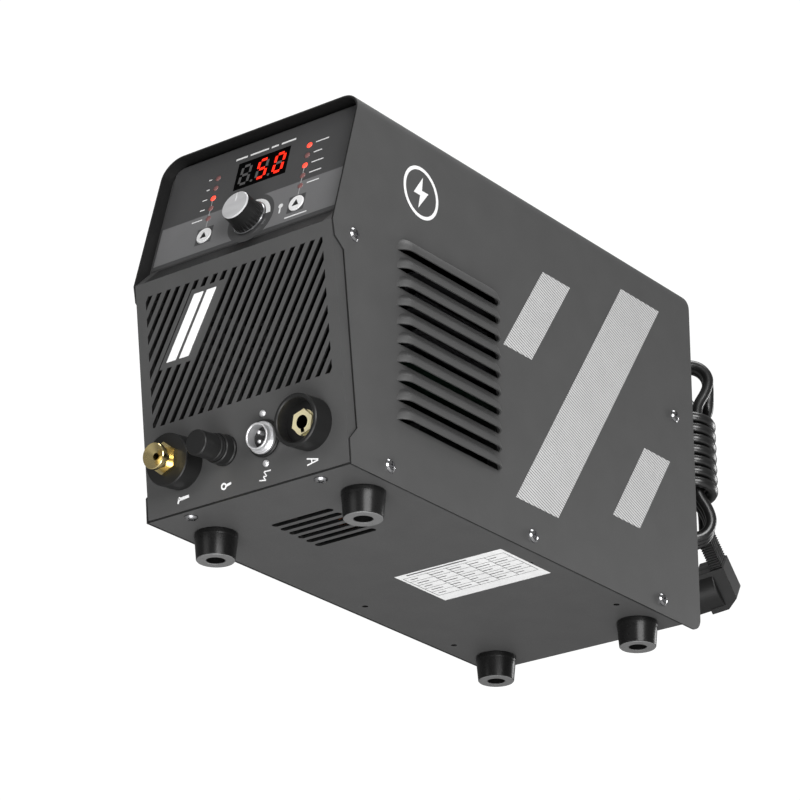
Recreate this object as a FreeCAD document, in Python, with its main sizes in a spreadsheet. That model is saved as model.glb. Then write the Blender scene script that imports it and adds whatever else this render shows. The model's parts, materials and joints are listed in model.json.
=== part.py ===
import FreeCAD, Part
import math
import os
from types import SimpleNamespace

import Sketcher
from FreeCAD import Placement, Rotation, Vector

# Row frame: -Y is the front with the control panel, +Z is up, +X is the side on
# the right of someone who faces the control panel, and z = 0 is the plane
# under the rubber feet. All sizes are in millimetres.

doc = FreeCAD.newDocument("plasma_cutter_unit")

# ---------------------------------------------------------------- dimensions

DIMENSIONS = [
    ("front_line", -203.45, "y of the front crease, the case's foremost line"),
    ("cover_length", 420.0, "front crease to the cover's rear edge"),
    ("cover_width", 170.5, "outside of the cover, louvres left out"),
    ("cover_height", 267.6, "base underside to cover top"),
    ("foot_height", 18.8, "floor to base underside"),
    ("crease_height", 162.8, "base underside to the front crease"),
    ("top_setback", 28.2, "crease to the cover's top front edge, along y"),
    ("bottom_setback", 20.6, "crease to the bottom front edge, along y"),
    ("panel_recess", 10.0, "control panel behind the cover's slanted edges"),
    ("cover_bend", 15.8, "outside radius of the cover's top bends"),
    ("sheet", 1.5, "thickness of every steel sheet"),
    ("panel_gap", 0.3, "clearance between the cover and what it encloses"),
    ("base_length", 398.0, "front crease to the base plate's rear edge"),
    ("rear_face", 388.0, "front crease to the rear panel's outer face"),
    ("flange_depth", 14.0, "depth of the panels' returned edges"),
    ("louvre_pitch", 13.36, "louvre spacing on the cover's sides"),
    ("louvre_rise", 7.0, "how far a louvre stands out"),
    ("louvre_height", 10.4, "height of one louvre"),
    ("connector_drop", 131.0, "crease to connector axes, down the front"),
    ("torch_x", -52.5, "torch connector axis"),
    ("pilot_x", -16.0, "pilot arc terminal axis"),
    ("signal_x", 17.2, "two-pin control socket axis"),
    ("work_x", 54.9, "work lead socket axis"),
    ("slot_pitch", 8.13, "grille slot spacing across the front"),
    ("slot_width", 4.0, "grille slot width, measured across the front"),
    ("grille_half", 75.2, "half the width of the grille"),
    ("grille_top", 10.3, "crease to the grille's top edge"),
    ("grille_bottom", 101.4, "crease to the grille's bottom edge"),
    ("knob_up", 32.9, "knob axis, up the control panel from the crease"),
    ("button_x", 39.6, "button axes, left and right of the centre line"),
    ("button_up", 32.2, "button axes, up the control panel"),
    ("button_radius", 6.15, "button cap radius"),
    ("led_first_up", 47.0, "lowest indicator, up the control panel"),
    ("led_pitch", 8.75, "indicator spacing"),
    ("display_up", 76.4, "display centre, up the control panel"),
    ("display_width", 45.2, "display module face"),
    ("display_height", 23.8, "display module face"),
    ("foot_x", 61.4, "foot axes, left and right"),
    ("foot_front", 62.5, "front foot axes behind the crease"),
    ("foot_rear", 374.3, "rear foot axes behind the crease"),
    ("fan_size", 120.0, "fan frame side"),
    ("fan_height", 76.0, "fan axis above the base underside"),
    ("gland_x", -15.0, "cable gland axis"),
    ("gland_height", 225.0, "cable gland axis above the base underside"),
    ("cord_diameter", 8.0, "mains cord"),
    ("hank_x", 51.57, "axis of the tied hank"),
    ("hank_back", 469.9, "axis of the tied hank behind the crease"),
]


class Length:
    """A size that knows its value and the sheet formula that gives it."""

    def __init__(self, value, formula):
        self.value = value
        self.formula = formula

    def __add__(self, other):
        other = length(other)
        return Length(self.value + other.value, f"({self.formula} + {other.formula})")

    def __sub__(self, other):
        other = length(other)
        return Length(self.value - other.value, f"({self.formula} - {other.formula})")

    def __mul__(self, factor):
        return Length(self.value * factor, f"({self.formula} * {factor:.9g})")

    def __truediv__(self, factor):
        return self * (1.0 / factor)

    def __neg__(self):
        return self * -1.0

    def __radd__(self, other):
        return length(other) + self

    def __rsub__(self, other):
        return length(other) - self

    __rmul__ = __mul__


def length(size):
    """A plain number as a Length; a Length as it is."""
    return size if isinstance(size, Length) else Length(float(size), f"{size:.9g}")


def number(size):
    """The value of a Length or a plain number."""
    return length(size).value


sheet_object = doc.addObject("Spreadsheet::Sheet", "Dimensions")
for row, (alias, size, meaning) in enumerate(DIMENSIONS, start=1):
    sheet_object.set(f"A{row}", meaning)
    sheet_object.set(f"B{row}", str(size))
    sheet_object.setAlias(f"B{row}", alias)
doc.recompute()
D = SimpleNamespace(
    **{alias: Length(size, f"Dimensions.{alias}") for alias, size, _ in DIMENSIONS}
)

# Levels and lines that many pieces share.
HALF = D.cover_width / 2
BASE = D.foot_height
CREASE = D.foot_height + D.crease_height
TOP = D.foot_height + D.cover_height
INSIDE = HALF - D.sheet - D.panel_gap


def back(distance):
    """y of a point that far behind the front crease."""
    return D.front_line + distance


# ------------------------------------------------------------ building tools


def bind(item, name, size):
    """Sets a property or a placement component, and ties it to the sheet."""
    if isinstance(size, Length):
        item.setExpression(name, size.formula)
    elif "." not in name:
        setattr(item, name, size)


def place(item, spot, rotation=None):
    """Puts an object at spot, a triple of lengths, turned by rotation."""
    item.Placement = Placement(Vector(*(number(c) for c in spot)), rotation or Rotation())
    for axis, size in zip("xyz", spot):
        bind(item, f"Placement.Base.{axis}", size)
    return item


def block(label, low, high):
    """A box between two corners."""
    item = doc.addObject("Part::Box", label)
    item.Label = label
    for name, a, b in zip(("Length", "Width", "Height"), low, high):
        bind(item, name, length(b) - a)
    return place(item, low)


TURNS = {
    "x": Rotation(Vector(0, 1, 0), 90),
    "y": Rotation(Vector(1, 0, 0), -90),
    "z": Rotation(),
    "-x": Rotation(Vector(0, 1, 0), -90),
    "-y": Rotation(Vector(1, 0, 0), 90),
    "-z": Rotation(Vector(1, 0, 0), 180),
}


def rod(label, start, radius, reach, along="z"):
    """A cylinder from start, in one of the six main directions."""
    item = doc.addObject("Part::Cylinder", label)
    item.Label = label
    bind(item, "Radius", length(radius))
    bind(item, "Height", length(reach))
    return place(item, start, TURNS[along])


def boolean(kind, label, base, tools):
    """A Part cut, fuse or common of already built objects."""
    if kind == "Cut":
        if len(tools) > 1:
            joined = doc.addObject("Part::MultiFuse", label + "_tools")
            joined.Shapes = tools
        else:
            joined = tools[0]
        item = doc.addObject("Part::Cut", label)
        item.Base, item.Tool = base, joined
    else:
        item = doc.addObject(f"Part::Multi{kind}", label)
        item.Shapes = [base, *tools]
    item.Label = label
    return item


def cut(label, base, *tools):
    return boolean("Cut", label, base, list(tools))


def fuse(label, base, *tools):
    return boolean("Fuse", label, base, list(tools))


def group(label, items):
    """Separate solids of one kind that share a node."""
    item = doc.addObject("Part::Compound", label)
    item.Label = label
    item.Links = items
    return item


def new_body(label, plane):
    """An empty body with a sketch on one of its own origin planes."""
    body = doc.addObject("PartDesign::Body", label)
    body.Label = label
    sketch = body.newObject("Sketcher::SketchObject", label + "_sketch")
    attach(body, sketch, plane)
    return body, sketch


def attach(body, sketch, plane):
    face = next(f for f in body.Origin.OriginFeatures if f.Role == plane)
    sketch.AttachmentSupport = [(face, "")]
    sketch.MapMode = "FlatFace"


def outline(sketch, points):
    """Draws a closed outline; every corner is held by sheet formulas."""
    first = sketch.GeometryCount
    count = len(points)
    spots = [Vector(number(u), number(v), 0) for u, v in points]
    for i in range(count):
        sketch.addGeometry(Part.LineSegment(spots[i], spots[(i + 1) % count]), False)
    for i in range(count):
        here, after = first + i, first + (i + 1) % count
        sketch.addConstraint(Sketcher.Constraint("Coincident", here, 2, after, 1))
    for i, (u, v) in enumerate(points):
        for kind, size, axis in (("DistanceX", u, -2), ("DistanceY", v, -1)):
            if abs(number(size)) < 1e-9:
                rule = Sketcher.Constraint("PointOnObject", first + i, 1, axis)
                sketch.addConstraint(rule)
                continue
            rule = Sketcher.Constraint(kind, -1, 1, first + i, 1, number(size))
            index = sketch.addConstraint(rule)
            if isinstance(size, Length):
                name = f"{kind[-1].lower()}{first + i}"
                sketch.renameConstraint(index, name)
                sketch.setExpression(f"Constraints.{name}", size.formula)


def circle(sketch, centre, radius):
    """Draws a circle held by sheet formulas."""
    u, v = (number(c) for c in centre)
    index = sketch.addGeometry(Part.Circle(Vector(u, v, 0), Vector(0, 0, 1), number(radius)), False)
    rule = Sketcher.Constraint("Radius", index, number(radius))
    k = sketch.addConstraint(rule)
    if isinstance(radius, Length):
        sketch.renameConstraint(k, f"r{index}")
        sketch.setExpression(f"Constraints.r{index}", radius.formula)
    for kind, size, axis in (("DistanceX", centre[0], -2), ("DistanceY", centre[1], -1)):
        if abs(number(size)) < 1e-9:
            sketch.addConstraint(Sketcher.Constraint("PointOnObject", index, 3, axis))
            continue
        k = sketch.addConstraint(Sketcher.Constraint(kind, -1, 1, index, 3, number(size)))
        if isinstance(size, Length):
            name = f"c{kind[-1].lower()}{index}"
            sketch.renameConstraint(k, name)
            sketch.setExpression(f"Constraints.{name}", size.formula)


# The sketch planes' normals are +Z, -Y and +X.
def pad(label, plane, outlines, start, reach, circles=()):
    """Extrudes outlines from start to start + reach along the plane's own
    axis: +Z for XY, +Y for XZ and +X for YZ."""
    body, sketch = new_body(label, plane)
    for points in outlines:
        outline(sketch, points)
    for centre, radius in circles:
        circle(sketch, centre, radius)
    feature = body.newObject("PartDesign::Pad", label + "_pad")
    feature.Profile = sketch
    bind(feature, "Length", length(reach))
    feature.Reversed = plane == "XZ_Plane"
    sketch.AttachmentOffset = Placement()
    offset = -length(start) if plane == "XZ_Plane" else length(start)
    sketch.AttachmentOffset = Placement(Vector(0, 0, number(offset)), Rotation())
    sketch.setExpression("AttachmentOffset.Base.z", offset.formula)
    body.Tip = feature
    return body


def turned(label, profile, placement=None):
    """A turned piece: profile holds (radius, height) corners about local Z."""
    body, sketch = new_body(label, "XZ_Plane")
    outline(sketch, profile)
    feature = body.newObject("PartDesign::Revolution", label + "_turn")
    feature.Profile = sketch
    feature.ReferenceAxis = (sketch, ["V_Axis"])
    feature.Angle = 360
    body.Tip = feature
    if placement:
        body.Placement = placement
    return body


def rounded(body, radius, pick):
    """Fillets the edges of the body's last feature that pick accepts."""
    doc.recompute()
    base = body.Tip
    names = [
        f"Edge{i}"
        for i, edge in enumerate(base.Shape.Edges, start=1)
        if pick(edge, edge.CenterOfMass)
    ]
    feature = body.newObject("PartDesign::Fillet", body.Label + "_fillet")
    feature.Base = (base, names)
    bind(feature, "Radius", length(radius))
    body.Tip = feature
    return body


def inset(points, thickness):
    """The other face of a bent sheet: each corner moved to the left of the
    line's direction by the sheet's thickness, mitred at the bends."""
    spots = [Vector(number(u), number(v), 0) for u, v in points]
    moved = []
    for i, (u, v) in enumerate(points):
        before = spots[i] - spots[i - 1] if i else spots[1] - spots[0]
        after = spots[i + 1] - spots[i] if i + 1 < len(spots) else before
        normals = [Vector(-t.y, t.x, 0).normalize() for t in (before, after)]
        mitre = (normals[0] + normals[1]) / (1 + normals[0].dot(normals[1]))
        moved.append((length(u) + thickness * mitre.x, length(v) + thickness * mitre.y))
    return moved


def bent_sheet(label, plane, line, start, reach, thickness):
    """A folded sheet: its section is a line with a thickness."""
    return pad(label, plane, [line + inset(line, thickness)[::-1]], start, reach)


# --------------------------------------------------------------- the frames

# The lower front leans back towards its foot, the control panel towards its
# top. Each frame has x across, y up the panel and z out of it.
LOWER_LEAN = math.degrees(math.atan2(20.6, 162.8))
UPPER_LEAN = math.degrees(math.atan2(28.2, 267.6 - 162.8))
LOWER_TURN = Rotation(Vector(1, 0, 0), 90 + LOWER_LEAN)
UPPER_TURN = Rotation(Vector(1, 0, 0), 90 - UPPER_LEAN)
LOWER = Placement(Vector(0, number(back(0)), number(CREASE)), LOWER_TURN)
LOWER_SIN = math.sin(math.radians(LOWER_LEAN))
LOWER_COS = math.cos(math.radians(LOWER_LEAN))
UPPER_SIN = math.sin(math.radians(UPPER_LEAN))
UPPER_COS = math.cos(math.radians(UPPER_LEAN))
FRONT_LENGTH = D.crease_height / LOWER_COS


def on_lower(item, x=0.0, up=0.0, out=0.0):
    """Seats an item on the lower front at x, up from the crease."""
    y = back(0) - length(up) * LOWER_SIN - length(out) * LOWER_COS
    z = CREASE + length(up) * LOWER_COS - length(out) * LOWER_SIN
    return place(item, (length(x), y, z), LOWER_TURN)


def on_upper(item, x=0.0, up=0.0, out=0.0):
    """Seats an item on the control panel at x, up from the crease level."""
    y = back(D.panel_recess) + length(up) * UPPER_SIN - length(out) * UPPER_COS
    z = CREASE + length(up) * UPPER_COS + length(out) * UPPER_SIN
    return place(item, (length(x), y, z), UPPER_TURN)


def disc(label, radius, low, high):
    """A cylinder about local Z between two heights, ready to be seated."""
    return turned(label, [(0, low), (radius, low), (radius, high), (0, high)])


NODES = []


def node(item):
    """Adds a finished sub-part to the list that is written out."""
    NODES.append(item)
    return item


# ------------------------------------------------------------ screws and feet

SCREW_HOLE = 2.2
SIDE_SCREWS = [(21.3, 158.8), (395.0, 158.2), (59.0, 10.7), (214.9, 10.7), (371.1, 10.7)]


def screw(label, spot, along, head=4.6, shank=1.95, reach=8.0, rise=2.3):
    """A domed cross-head screw; along points from its tip to its head."""
    body = turned(
        label,
        [(0, -reach), (shank, -reach), (shank, 0), (head, 0), (head, rise * 0.35),
         (head * 0.78, rise * 0.8), (head * 0.4, rise), (0, rise)],
    )
    doc.recompute()
    drive = body.newObject("Sketcher::SketchObject", label + "_drive")
    attach(body, drive, "XY_Plane")
    drive.AttachmentOffset = Placement(Vector(0, 0, rise * 0.45), Rotation())
    a, b = head * 0.62, 0.5
    outline(drive, [(-a, -b), (-b, -b), (-b, -a), (b, -a), (b, -b), (a, -b),
                    (a, b), (b, b), (b, a), (-b, a), (-b, b), (-a, b)])
    recess = body.newObject("PartDesign::Pocket", label + "_recess")
    recess.Profile = drive
    recess.Length = rise
    recess.Reversed = True
    body.Tip = recess
    return place(body, spot, TURNS[along])


cover_screws = []
for side, along in ((1, "x"), (-1, "-x")):
    for i, (y, z) in enumerate(SIDE_SCREWS):
        name = f"cover_screw_{'right' if side > 0 else 'left'}_{i}"
        cover_screws.append(screw(name, (HALF * side, back(y), BASE + z), along))
node(group("cover_screws", cover_screws))

BASE_SCREWS = [(-53.9, 28.6), (53.9, 28.6)]
FEET = [("front_left", -1, D.foot_front), ("front_right", 1, D.foot_front),
        ("rear_left", -1, D.foot_rear), ("rear_right", 1, D.foot_rear)]
FOOT_HOLE = 6.2
foot_screws = []
for name, side, y in FEET:
    foot = turned(
        f"foot_{name}",
        [(2.6, -3.6), (FOOT_HOLE, -3.6), (FOOT_HOLE, -D.foot_height + 0.6),
         (FOOT_HOLE + 0.6, -D.foot_height), (12.4, -D.foot_height),
         (13.0, -D.foot_height + 0.7), (14.3, -4.2), (14.5, -3.4), (14.5, -0.8),
         (14.0, 0), (2.6, 0)],
    )
    node(place(foot, (D.foot_x * side, back(y), BASE)))
    foot_screws.append(
        screw(f"foot_screw_{name}", (D.foot_x * side, back(y), BASE - 3.6), "-z",
              head=4.8, shank=2.3, reach=10.0, rise=2.6)
    )
node(group("foot_screws", foot_screws))

# The space inside the cover: what closes its ends is trimmed to it.
CAVITY_ROUND = D.cover_bend - D.sheet - D.panel_gap
cavity_top = TOP - D.sheet - D.panel_gap
cavity = pad("cover_cavity", "XZ_Plane",
             [[(-INSIDE, BASE), (INSIDE, BASE), (INSIDE, cavity_top), (-INSIDE, cavity_top)]],
             back(-5.0), D.cover_length + 10.0)
rounded(cavity, CAVITY_ROUND,
        lambda edge, middle: edge.BoundBox.YLength > 400 and middle.z > number(cavity_top) - 0.1)

# ----------------------------------------------------------------- base plate

WALL_IN = INSIDE - D.sheet
FLANGE_TOP = BASE + 22.0
base_section = [(-INSIDE, FLANGE_TOP), (-INSIDE, BASE), (INSIDE, BASE), (INSIDE, FLANGE_TOP)]
base_fold = bent_sheet("base_fold", "XZ_Plane", base_section, back(21.0),
                       D.base_length - 21.0, D.sheet)
base_cuts = []
for side in (-1, 1):
    base_cuts.append(block(f"base_notch_{side}", (INSIDE * side - 5, back(20.0), BASE + D.sheet),
                           (INSIDE * side + 5, back(37.0), FLANGE_TOP + 1)))
VENT_PITCH, VENT_HALF, VENT_LEFT, VENT_RIGHT = 8.95, 2.65, -20.25, 24.45
for i in range(6):
    y = 74.0 + VENT_PITCH * i
    base_cuts.append(block(f"base_vent_{i}", (VENT_LEFT, back(y - VENT_HALF), BASE - 2),
                           (VENT_RIGHT, back(y + VENT_HALF), BASE + 4)))
    for end, x in enumerate((VENT_LEFT, VENT_RIGHT)):
        base_cuts.append(rod(f"base_vent_end_{i}_{end}", (x, back(y), BASE - 2), VENT_HALF, 6))
FIXING_X, FIXING_FRONT, FIXING_REAR = 70.3, 232.2, 335.5
FIXING_RADIUS = 2.15
for side in (-1, 1):
    for y in (FIXING_FRONT, FIXING_REAR):
        base_cuts.append(rod(f"fixing_hole_{side}_{y:.0f}", (FIXING_X * side, back(y), BASE - 2),
                             FIXING_RADIUS, 6))
for name, side, y in FEET:
    base_cuts.append(rod(f"foot_hole_{name}", (D.foot_x * side, back(y), BASE - 2), 2.5, 6))
for i, (x, y) in enumerate(BASE_SCREWS):
    base_cuts.append(rod(f"base_screw_hole_{i}", (x, back(y), BASE - 2), SCREW_HOLE, 6))
for i, (y, z) in enumerate(SIDE_SCREWS):
    if z < 22:
        base_cuts.append(rod(f"base_side_hole_{i}", (-HALF - 5, back(y), BASE + z), SCREW_HOLE,
                             D.cover_width + 10, "x"))
node(cut("base_plate", base_fold, *base_cuts))

# ---------------------------------------------------------------- front panel

SHEET_SETBACK = D.sheet * (number(D.bottom_setback) / number(D.crease_height))
LEDGE = number(D.panel_recess) / (1 - UPPER_SIN / UPPER_COS)
UPPER_END = 104.5
front_line_points = [
    (back(D.panel_recess) + UPPER_SIN * UPPER_END, CREASE + UPPER_COS * UPPER_END),
    (back(0) + LEDGE, CREASE + LEDGE),
    (back(0), CREASE),
    (back(D.bottom_setback - SHEET_SETBACK), BASE + D.sheet),
    (back(46.0), BASE + D.sheet),
]
front_fold = bent_sheet("front_fold", "YZ_Plane", front_line_points, -INSIDE, INSIDE * 2, D.sheet)
front_parts = [front_fold]
for side in (-1, 1):
    low, high = (INSIDE - D.sheet, INSIDE) if side > 0 else (-INSIDE, D.sheet - INSIDE)
    lower_return = block(f"front_return_{side}", (low, 0, 0), (high, 1, 1))
    bind(lower_return, "Width", FRONT_LENGTH - 6.0)
    bind(lower_return, "Height", D.flange_depth)
    on_lower(lower_return, low, 4.0 - FRONT_LENGTH, -D.flange_depth)
    upper_return = block(f"front_upper_return_{side}", (low, 0, 0), (high, 1, 1))
    bind(upper_return, "Width", length(UPPER_END - 17.0))
    bind(upper_return, "Height", D.flange_depth)
    on_upper(upper_return, low, 16.5, -D.flange_depth)
    tab = block(f"front_tab_{side}", (low, back(12.0), BASE + 152.0), (high, back(30.0), BASE + 166.0))
    front_parts += [lower_return, upper_return, tab]
front_blank = boolean("Common", "front_blank", fuse("front_bent", *front_parts), [cavity])

# The grille: slanting bars, kept inside a rectangle and clear of the badge.
SLOT_RISE = 12.1
SLANT = number(D.slot_pitch) / SLOT_RISE
GRILLE_TALL = D.grille_bottom - D.grille_top
SLOTS = 26
bar_low = [(-D.grille_half - GRILLE_TALL * SLANT - D.slot_width / 2, -D.grille_bottom),
           (-D.grille_half - GRILLE_TALL * SLANT + D.slot_width / 2, -D.grille_bottom),
           (-D.grille_half + D.slot_width / 2, -D.grille_top),
           (-D.grille_half - D.slot_width / 2, -D.grille_top)]
bars = pad("grille_bars", "XY_Plane", [bar_low], -4.0, 8.0)
doc.recompute()
repeat = bars.newObject("PartDesign::LinearPattern", "grille_bars_repeat")
repeat.Originals = [bars.Group[-2] if bars.Group[-1] is repeat else bars.Tip]
repeat.Direction = (next(f for f in bars.Origin.OriginFeatures if f.Role == "X_Axis"), [""])
repeat.Occurrences = SLOTS
bind(repeat, "Length", D.slot_pitch * (SLOTS - 1))
bars.Tip = repeat
on_lower(bars, 4.3)
window = pad("grille_window", "XY_Plane",
             [[(-D.grille_half, -D.grille_bottom), (D.grille_half, -D.grille_bottom),
               (D.grille_half, -D.grille_top), (-D.grille_half, -D.grille_top)]], -3.0, 6.0)
on_lower(window)

# The badge leans with the slots.
BADGE_X, BADGE_LOW, BADGE_HIGH = -37.1, -60.0, -19.6
BADGE_BAR, BADGE_GAP, BADGE_MARGIN = 7.6, 3.4, 3.6


def leaning(middle, half, low, high):
    """A parallelogram that leans like the slots, about a middle line."""
    lean = SLANT * (high - low) / 2
    return [(middle - lean - half, low), (middle - lean + half, low),
            (middle + lean + half, high), (middle + lean - half, high)]


badge_land = pad("badge_land", "XY_Plane",
                 [leaning(BADGE_X, BADGE_BAR + BADGE_GAP / 2 + BADGE_MARGIN + 1.0,
                          BADGE_LOW - BADGE_MARGIN, BADGE_HIGH + BADGE_MARGIN)], -6.0, 12.0)
on_lower(badge_land)
slots = boolean("Common", "grille_slots", bars, [window])
slots_kept = cut("grille_slots_kept", slots, badge_land)

front_cuts = [slots_kept]
for name, x, radius in (("torch", D.torch_x, 8.2), ("pilot", D.pilot_x, 4.2),
                        ("signal", D.signal_x, 8.6), ("work", D.work_x, 11.2)):
    front_cuts.append(on_lower(disc(f"hole_{name}", radius, -4, 4), x, -D.connector_drop))
for side in (-1, 1):
    front_cuts.append(on_lower(disc(f"hole_signal_screw_{side}", 1.4, -4, 4), D.signal_x,
                               -D.connector_drop + 16.64 * side))
LED_UPS = [D.led_first_up + D.led_pitch * i for i in range(5)]
for side in (-1, 1):
    for i, up in enumerate(LED_UPS):
        front_cuts.append(on_upper(disc(f"hole_led_{side}_{i}", 2.35, -4, 4), D.button_x * side, up))
    front_cuts.append(on_upper(disc(f"hole_button_{side}", D.button_radius + 0.35, -4, 4),
                               D.button_x * side, D.button_up))
front_cuts.append(on_upper(disc("hole_encoder", 3.8, -4, 4), 0, D.knob_up))
display_hole = pad("hole_display", "XY_Plane",
                   [[(-D.display_width / 2 - 0.25, -D.display_height / 2 - 0.25),
                     (D.display_width / 2 + 0.25, -D.display_height / 2 - 0.25),
                     (D.display_width / 2 + 0.25, D.display_height / 2 + 0.25),
                     (-D.display_width / 2 - 0.25, D.display_height / 2 + 0.25)]], -4, 8)
front_cuts.append(on_upper(display_hole, 0, D.display_up))
for i, (x, y) in enumerate(BASE_SCREWS[:2]):
    front_cuts.append(rod(f"front_screw_hole_{i}", (x, back(y), BASE), SCREW_HOLE, 6))
for i, (y, z) in enumerate(SIDE_SCREWS[:1]):
    front_cuts.append(rod(f"front_side_hole_{i}", (-HALF - 5, back(y), BASE + z), SCREW_HOLE,
                          D.cover_width + 10, "x"))
for side in (-1, 1):
    low, high = sorted((number(WALL_IN - 0.3) * side, number(INSIDE + 1) * side))
    front_cuts.append(block(f"front_corner_{side}", (low, back(36.7), BASE), (high, back(47.0), BASE + 5)))
node(cut("front_panel", front_blank, *front_cuts))

SEAT = 0.03
badge_bars = []
for side in (-1, 1):
    middle = BADGE_X + (BADGE_BAR + BADGE_GAP) / 2 * side
    bar = pad(f"badge_bar_{side}", "XY_Plane", [leaning(middle, BADGE_BAR / 2, BADGE_LOW, BADGE_HIGH)],
              SEAT, 0.6)
    badge_bars.append(on_lower(bar))
node(group("grille_badge", badge_bars))

# -------------------------------------------------------------- control panel

OVERLAY_LOW, OVERLAY_HIGH, OVERLAY_HALF, OVERLAY_THICK = 15.2, 103.0, 81.5, 0.5
overlay_holes = [((D.button_x * side, up), 2.35) for side in (-1, 1) for up in LED_UPS]
overlay_holes += [((D.button_x * side, D.button_up), D.button_radius + 0.35) for side in (-1, 1)]
overlay_holes += [((0.0, D.knob_up), 4.2)]
overlay = pad("overlay_sheet", "XY_Plane",
              [[(-OVERLAY_HALF, OVERLAY_LOW), (OVERLAY_HALF, OVERLAY_LOW),
                (OVERLAY_HALF, OVERLAY_HIGH), (-OVERLAY_HALF, OVERLAY_HIGH)],
               [(-D.display_width / 2 - 0.1, D.display_up - D.display_height / 2 - 0.1),
                (D.display_width / 2 + 0.1, D.display_up - D.display_height / 2 - 0.1),
                (D.display_width / 2 + 0.1, D.display_up + D.display_height / 2 + 0.1),
                (-D.display_width / 2 - 0.1, D.display_up + D.display_height / 2 + 0.1)]],
              0.0, OVERLAY_THICK, overlay_holes)
on_upper(overlay)
overlay.Label = "overlay_sheet"
node(boolean("Common", "control_overlay", overlay, [cavity]))

BOARD_TOP = -11.0
display = pad("display_module", "XY_Plane",
              [[(-D.display_width / 2, -D.display_height / 2), (D.display_width / 2, -D.display_height / 2),
                (D.display_width / 2, D.display_height / 2), (-D.display_width / 2, D.display_height / 2)]],
              BOARD_TOP, 0.3 - BOARD_TOP)
node(on_upper(display, 0, D.display_up))

leds = []
for side in (-1, 1):
    for i, up in enumerate(LED_UPS):
        led = turned(f"led_{'right' if side > 0 else 'left'}_{i}",
                     [(0, BOARD_TOP), (2.6, BOARD_TOP), (2.6, BOARD_TOP + 1.2), (2.15, BOARD_TOP + 1.2),
                      (2.15, 0.0), (1.7, 0.4), (0, 0.55)])
        leds.append(on_upper(led, D.button_x * side, up))
node(group("indicator_leds", leds))

board = pad("control_board", "XY_Plane",
            [[(-72.0, 20.0), (72.0, 20.0), (72.0, 98.0), (-72.0, 98.0)]], BOARD_TOP - 1.6, 1.6)
node(on_upper(board))

for side, name in ((-1, "left"), (1, "right")):
    button = turned(
        f"button_{name}",
        [(0, -9.4), (2.0, -9.4), (2.0, -3.4), (D.button_radius + 1.0, -3.4),
         (D.button_radius + 1.0, -1.9), (D.button_radius, -1.9), (D.button_radius, 0.9),
         (D.button_radius - 0.35, 1.2), (0, 1.3)],
    )
    node(on_upper(button, D.button_x * side, D.button_up))

encoder_case = pad("encoder_case", "XY_Plane", [[(-6, -6), (6, -6), (6, 6), (-6, 6)]],
                   BOARD_TOP, 7.4)
encoder_bush = disc("encoder_bush", 3.5, -4.0, 1.1)
encoder_bore = disc("encoder_bore", 3.05, -10.0, 2.0)
encoder_body = cut("encoder_body", fuse("encoder_solid", encoder_case, encoder_bush), encoder_bore)
node(on_upper(encoder_body, 0, D.knob_up))
node(on_upper(disc("encoder_shaft", 3.0, -9.2, 15.0), 0, D.knob_up))

KNOB_BASE, KNOB_TOP = 2.6, 16.0
grip = turned("knob_grip", [(3.05, KNOB_BASE), (12.1, KNOB_BASE), (11.3, 9.0), (11.1, KNOB_TOP),
                            (3.05, KNOB_TOP)])
doc.recompute()
flute = grip.newObject("Sketcher::SketchObject", "knob_flute_sketch")
attach(grip, flute, "XY_Plane")
flute.AttachmentOffset = Placement(Vector(0, 0, KNOB_BASE - 1), Rotation())
circle(flute, (12.6, 0.0), 1.35)
flute_cut = grip.newObject("PartDesign::Pocket", "knob_flute")
flute_cut.Profile = flute
flute_cut.Length = 13.4
flute_cut.Reversed = True
doc.recompute()
flutes = grip.newObject("PartDesign::PolarPattern", "knob_flutes")
flutes.Originals = [flute_cut]
flutes.Axis = (next(f for f in grip.Origin.OriginFeatures if f.Role == "Z_Axis"), [""])
flutes.Angle = 360
flutes.Occurrences = 26
grip.Tip = flutes
node(on_upper(grip, 0, D.knob_up))
cap = turned("knob_cap", [(0, KNOB_TOP), (10.8, KNOB_TOP), (10.8, KNOB_TOP + 0.5),
                          (10.2, KNOB_TOP + 0.95), (0, KNOB_TOP + 0.95)])
node(on_upper(cap, 0, D.knob_up))
ring = turned("knob_ring", [(3.9, 1.5), (13.2, 1.5), (13.2, 2.1), (12.7, KNOB_BASE), (3.9, KNOB_BASE)])
node(on_upper(ring, 0, D.knob_up))

# ------------------------------------------------------------ front connectors

DROP = -D.connector_drop

housing = turned("torch_socket_housing",
                 [(5.2, -14.0), (8.0, -14.0), (8.0, 0.0), (17.65, 0.0), (17.65, 14.9),
                  (17.05, 15.5), (5.2, 15.5)])
node(on_lower(housing, D.torch_x, DROP))
nut_blank = doc.addObject("Part::Prism", "torch_nut_blank")
nut_blank.Polygon = 6
nut_blank.Circumradius = 11.0
nut_blank.Height = 3.6
place(nut_blank, (0, 0, 15.5), Rotation(Vector(0, 0, 1), 21))
torch_nut = cut("torch_socket_nut", nut_blank, disc("torch_nut_bore", 5.0, 10.0, 25.0))
node(on_lower(torch_nut, D.torch_x, DROP))
barrel = turned("torch_socket_barrel",
                [(2.4, -22.0), (4.98, -22.0), (4.98, 19.1), (7.7, 19.1), (7.7, 24.6), (8.8, 25.0),
                 (8.8, 28.0), (8.5, 28.5), (8.2, 28.5), (2.4, 25.4)])
node(on_lower(barrel, D.torch_x, DROP))

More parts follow.
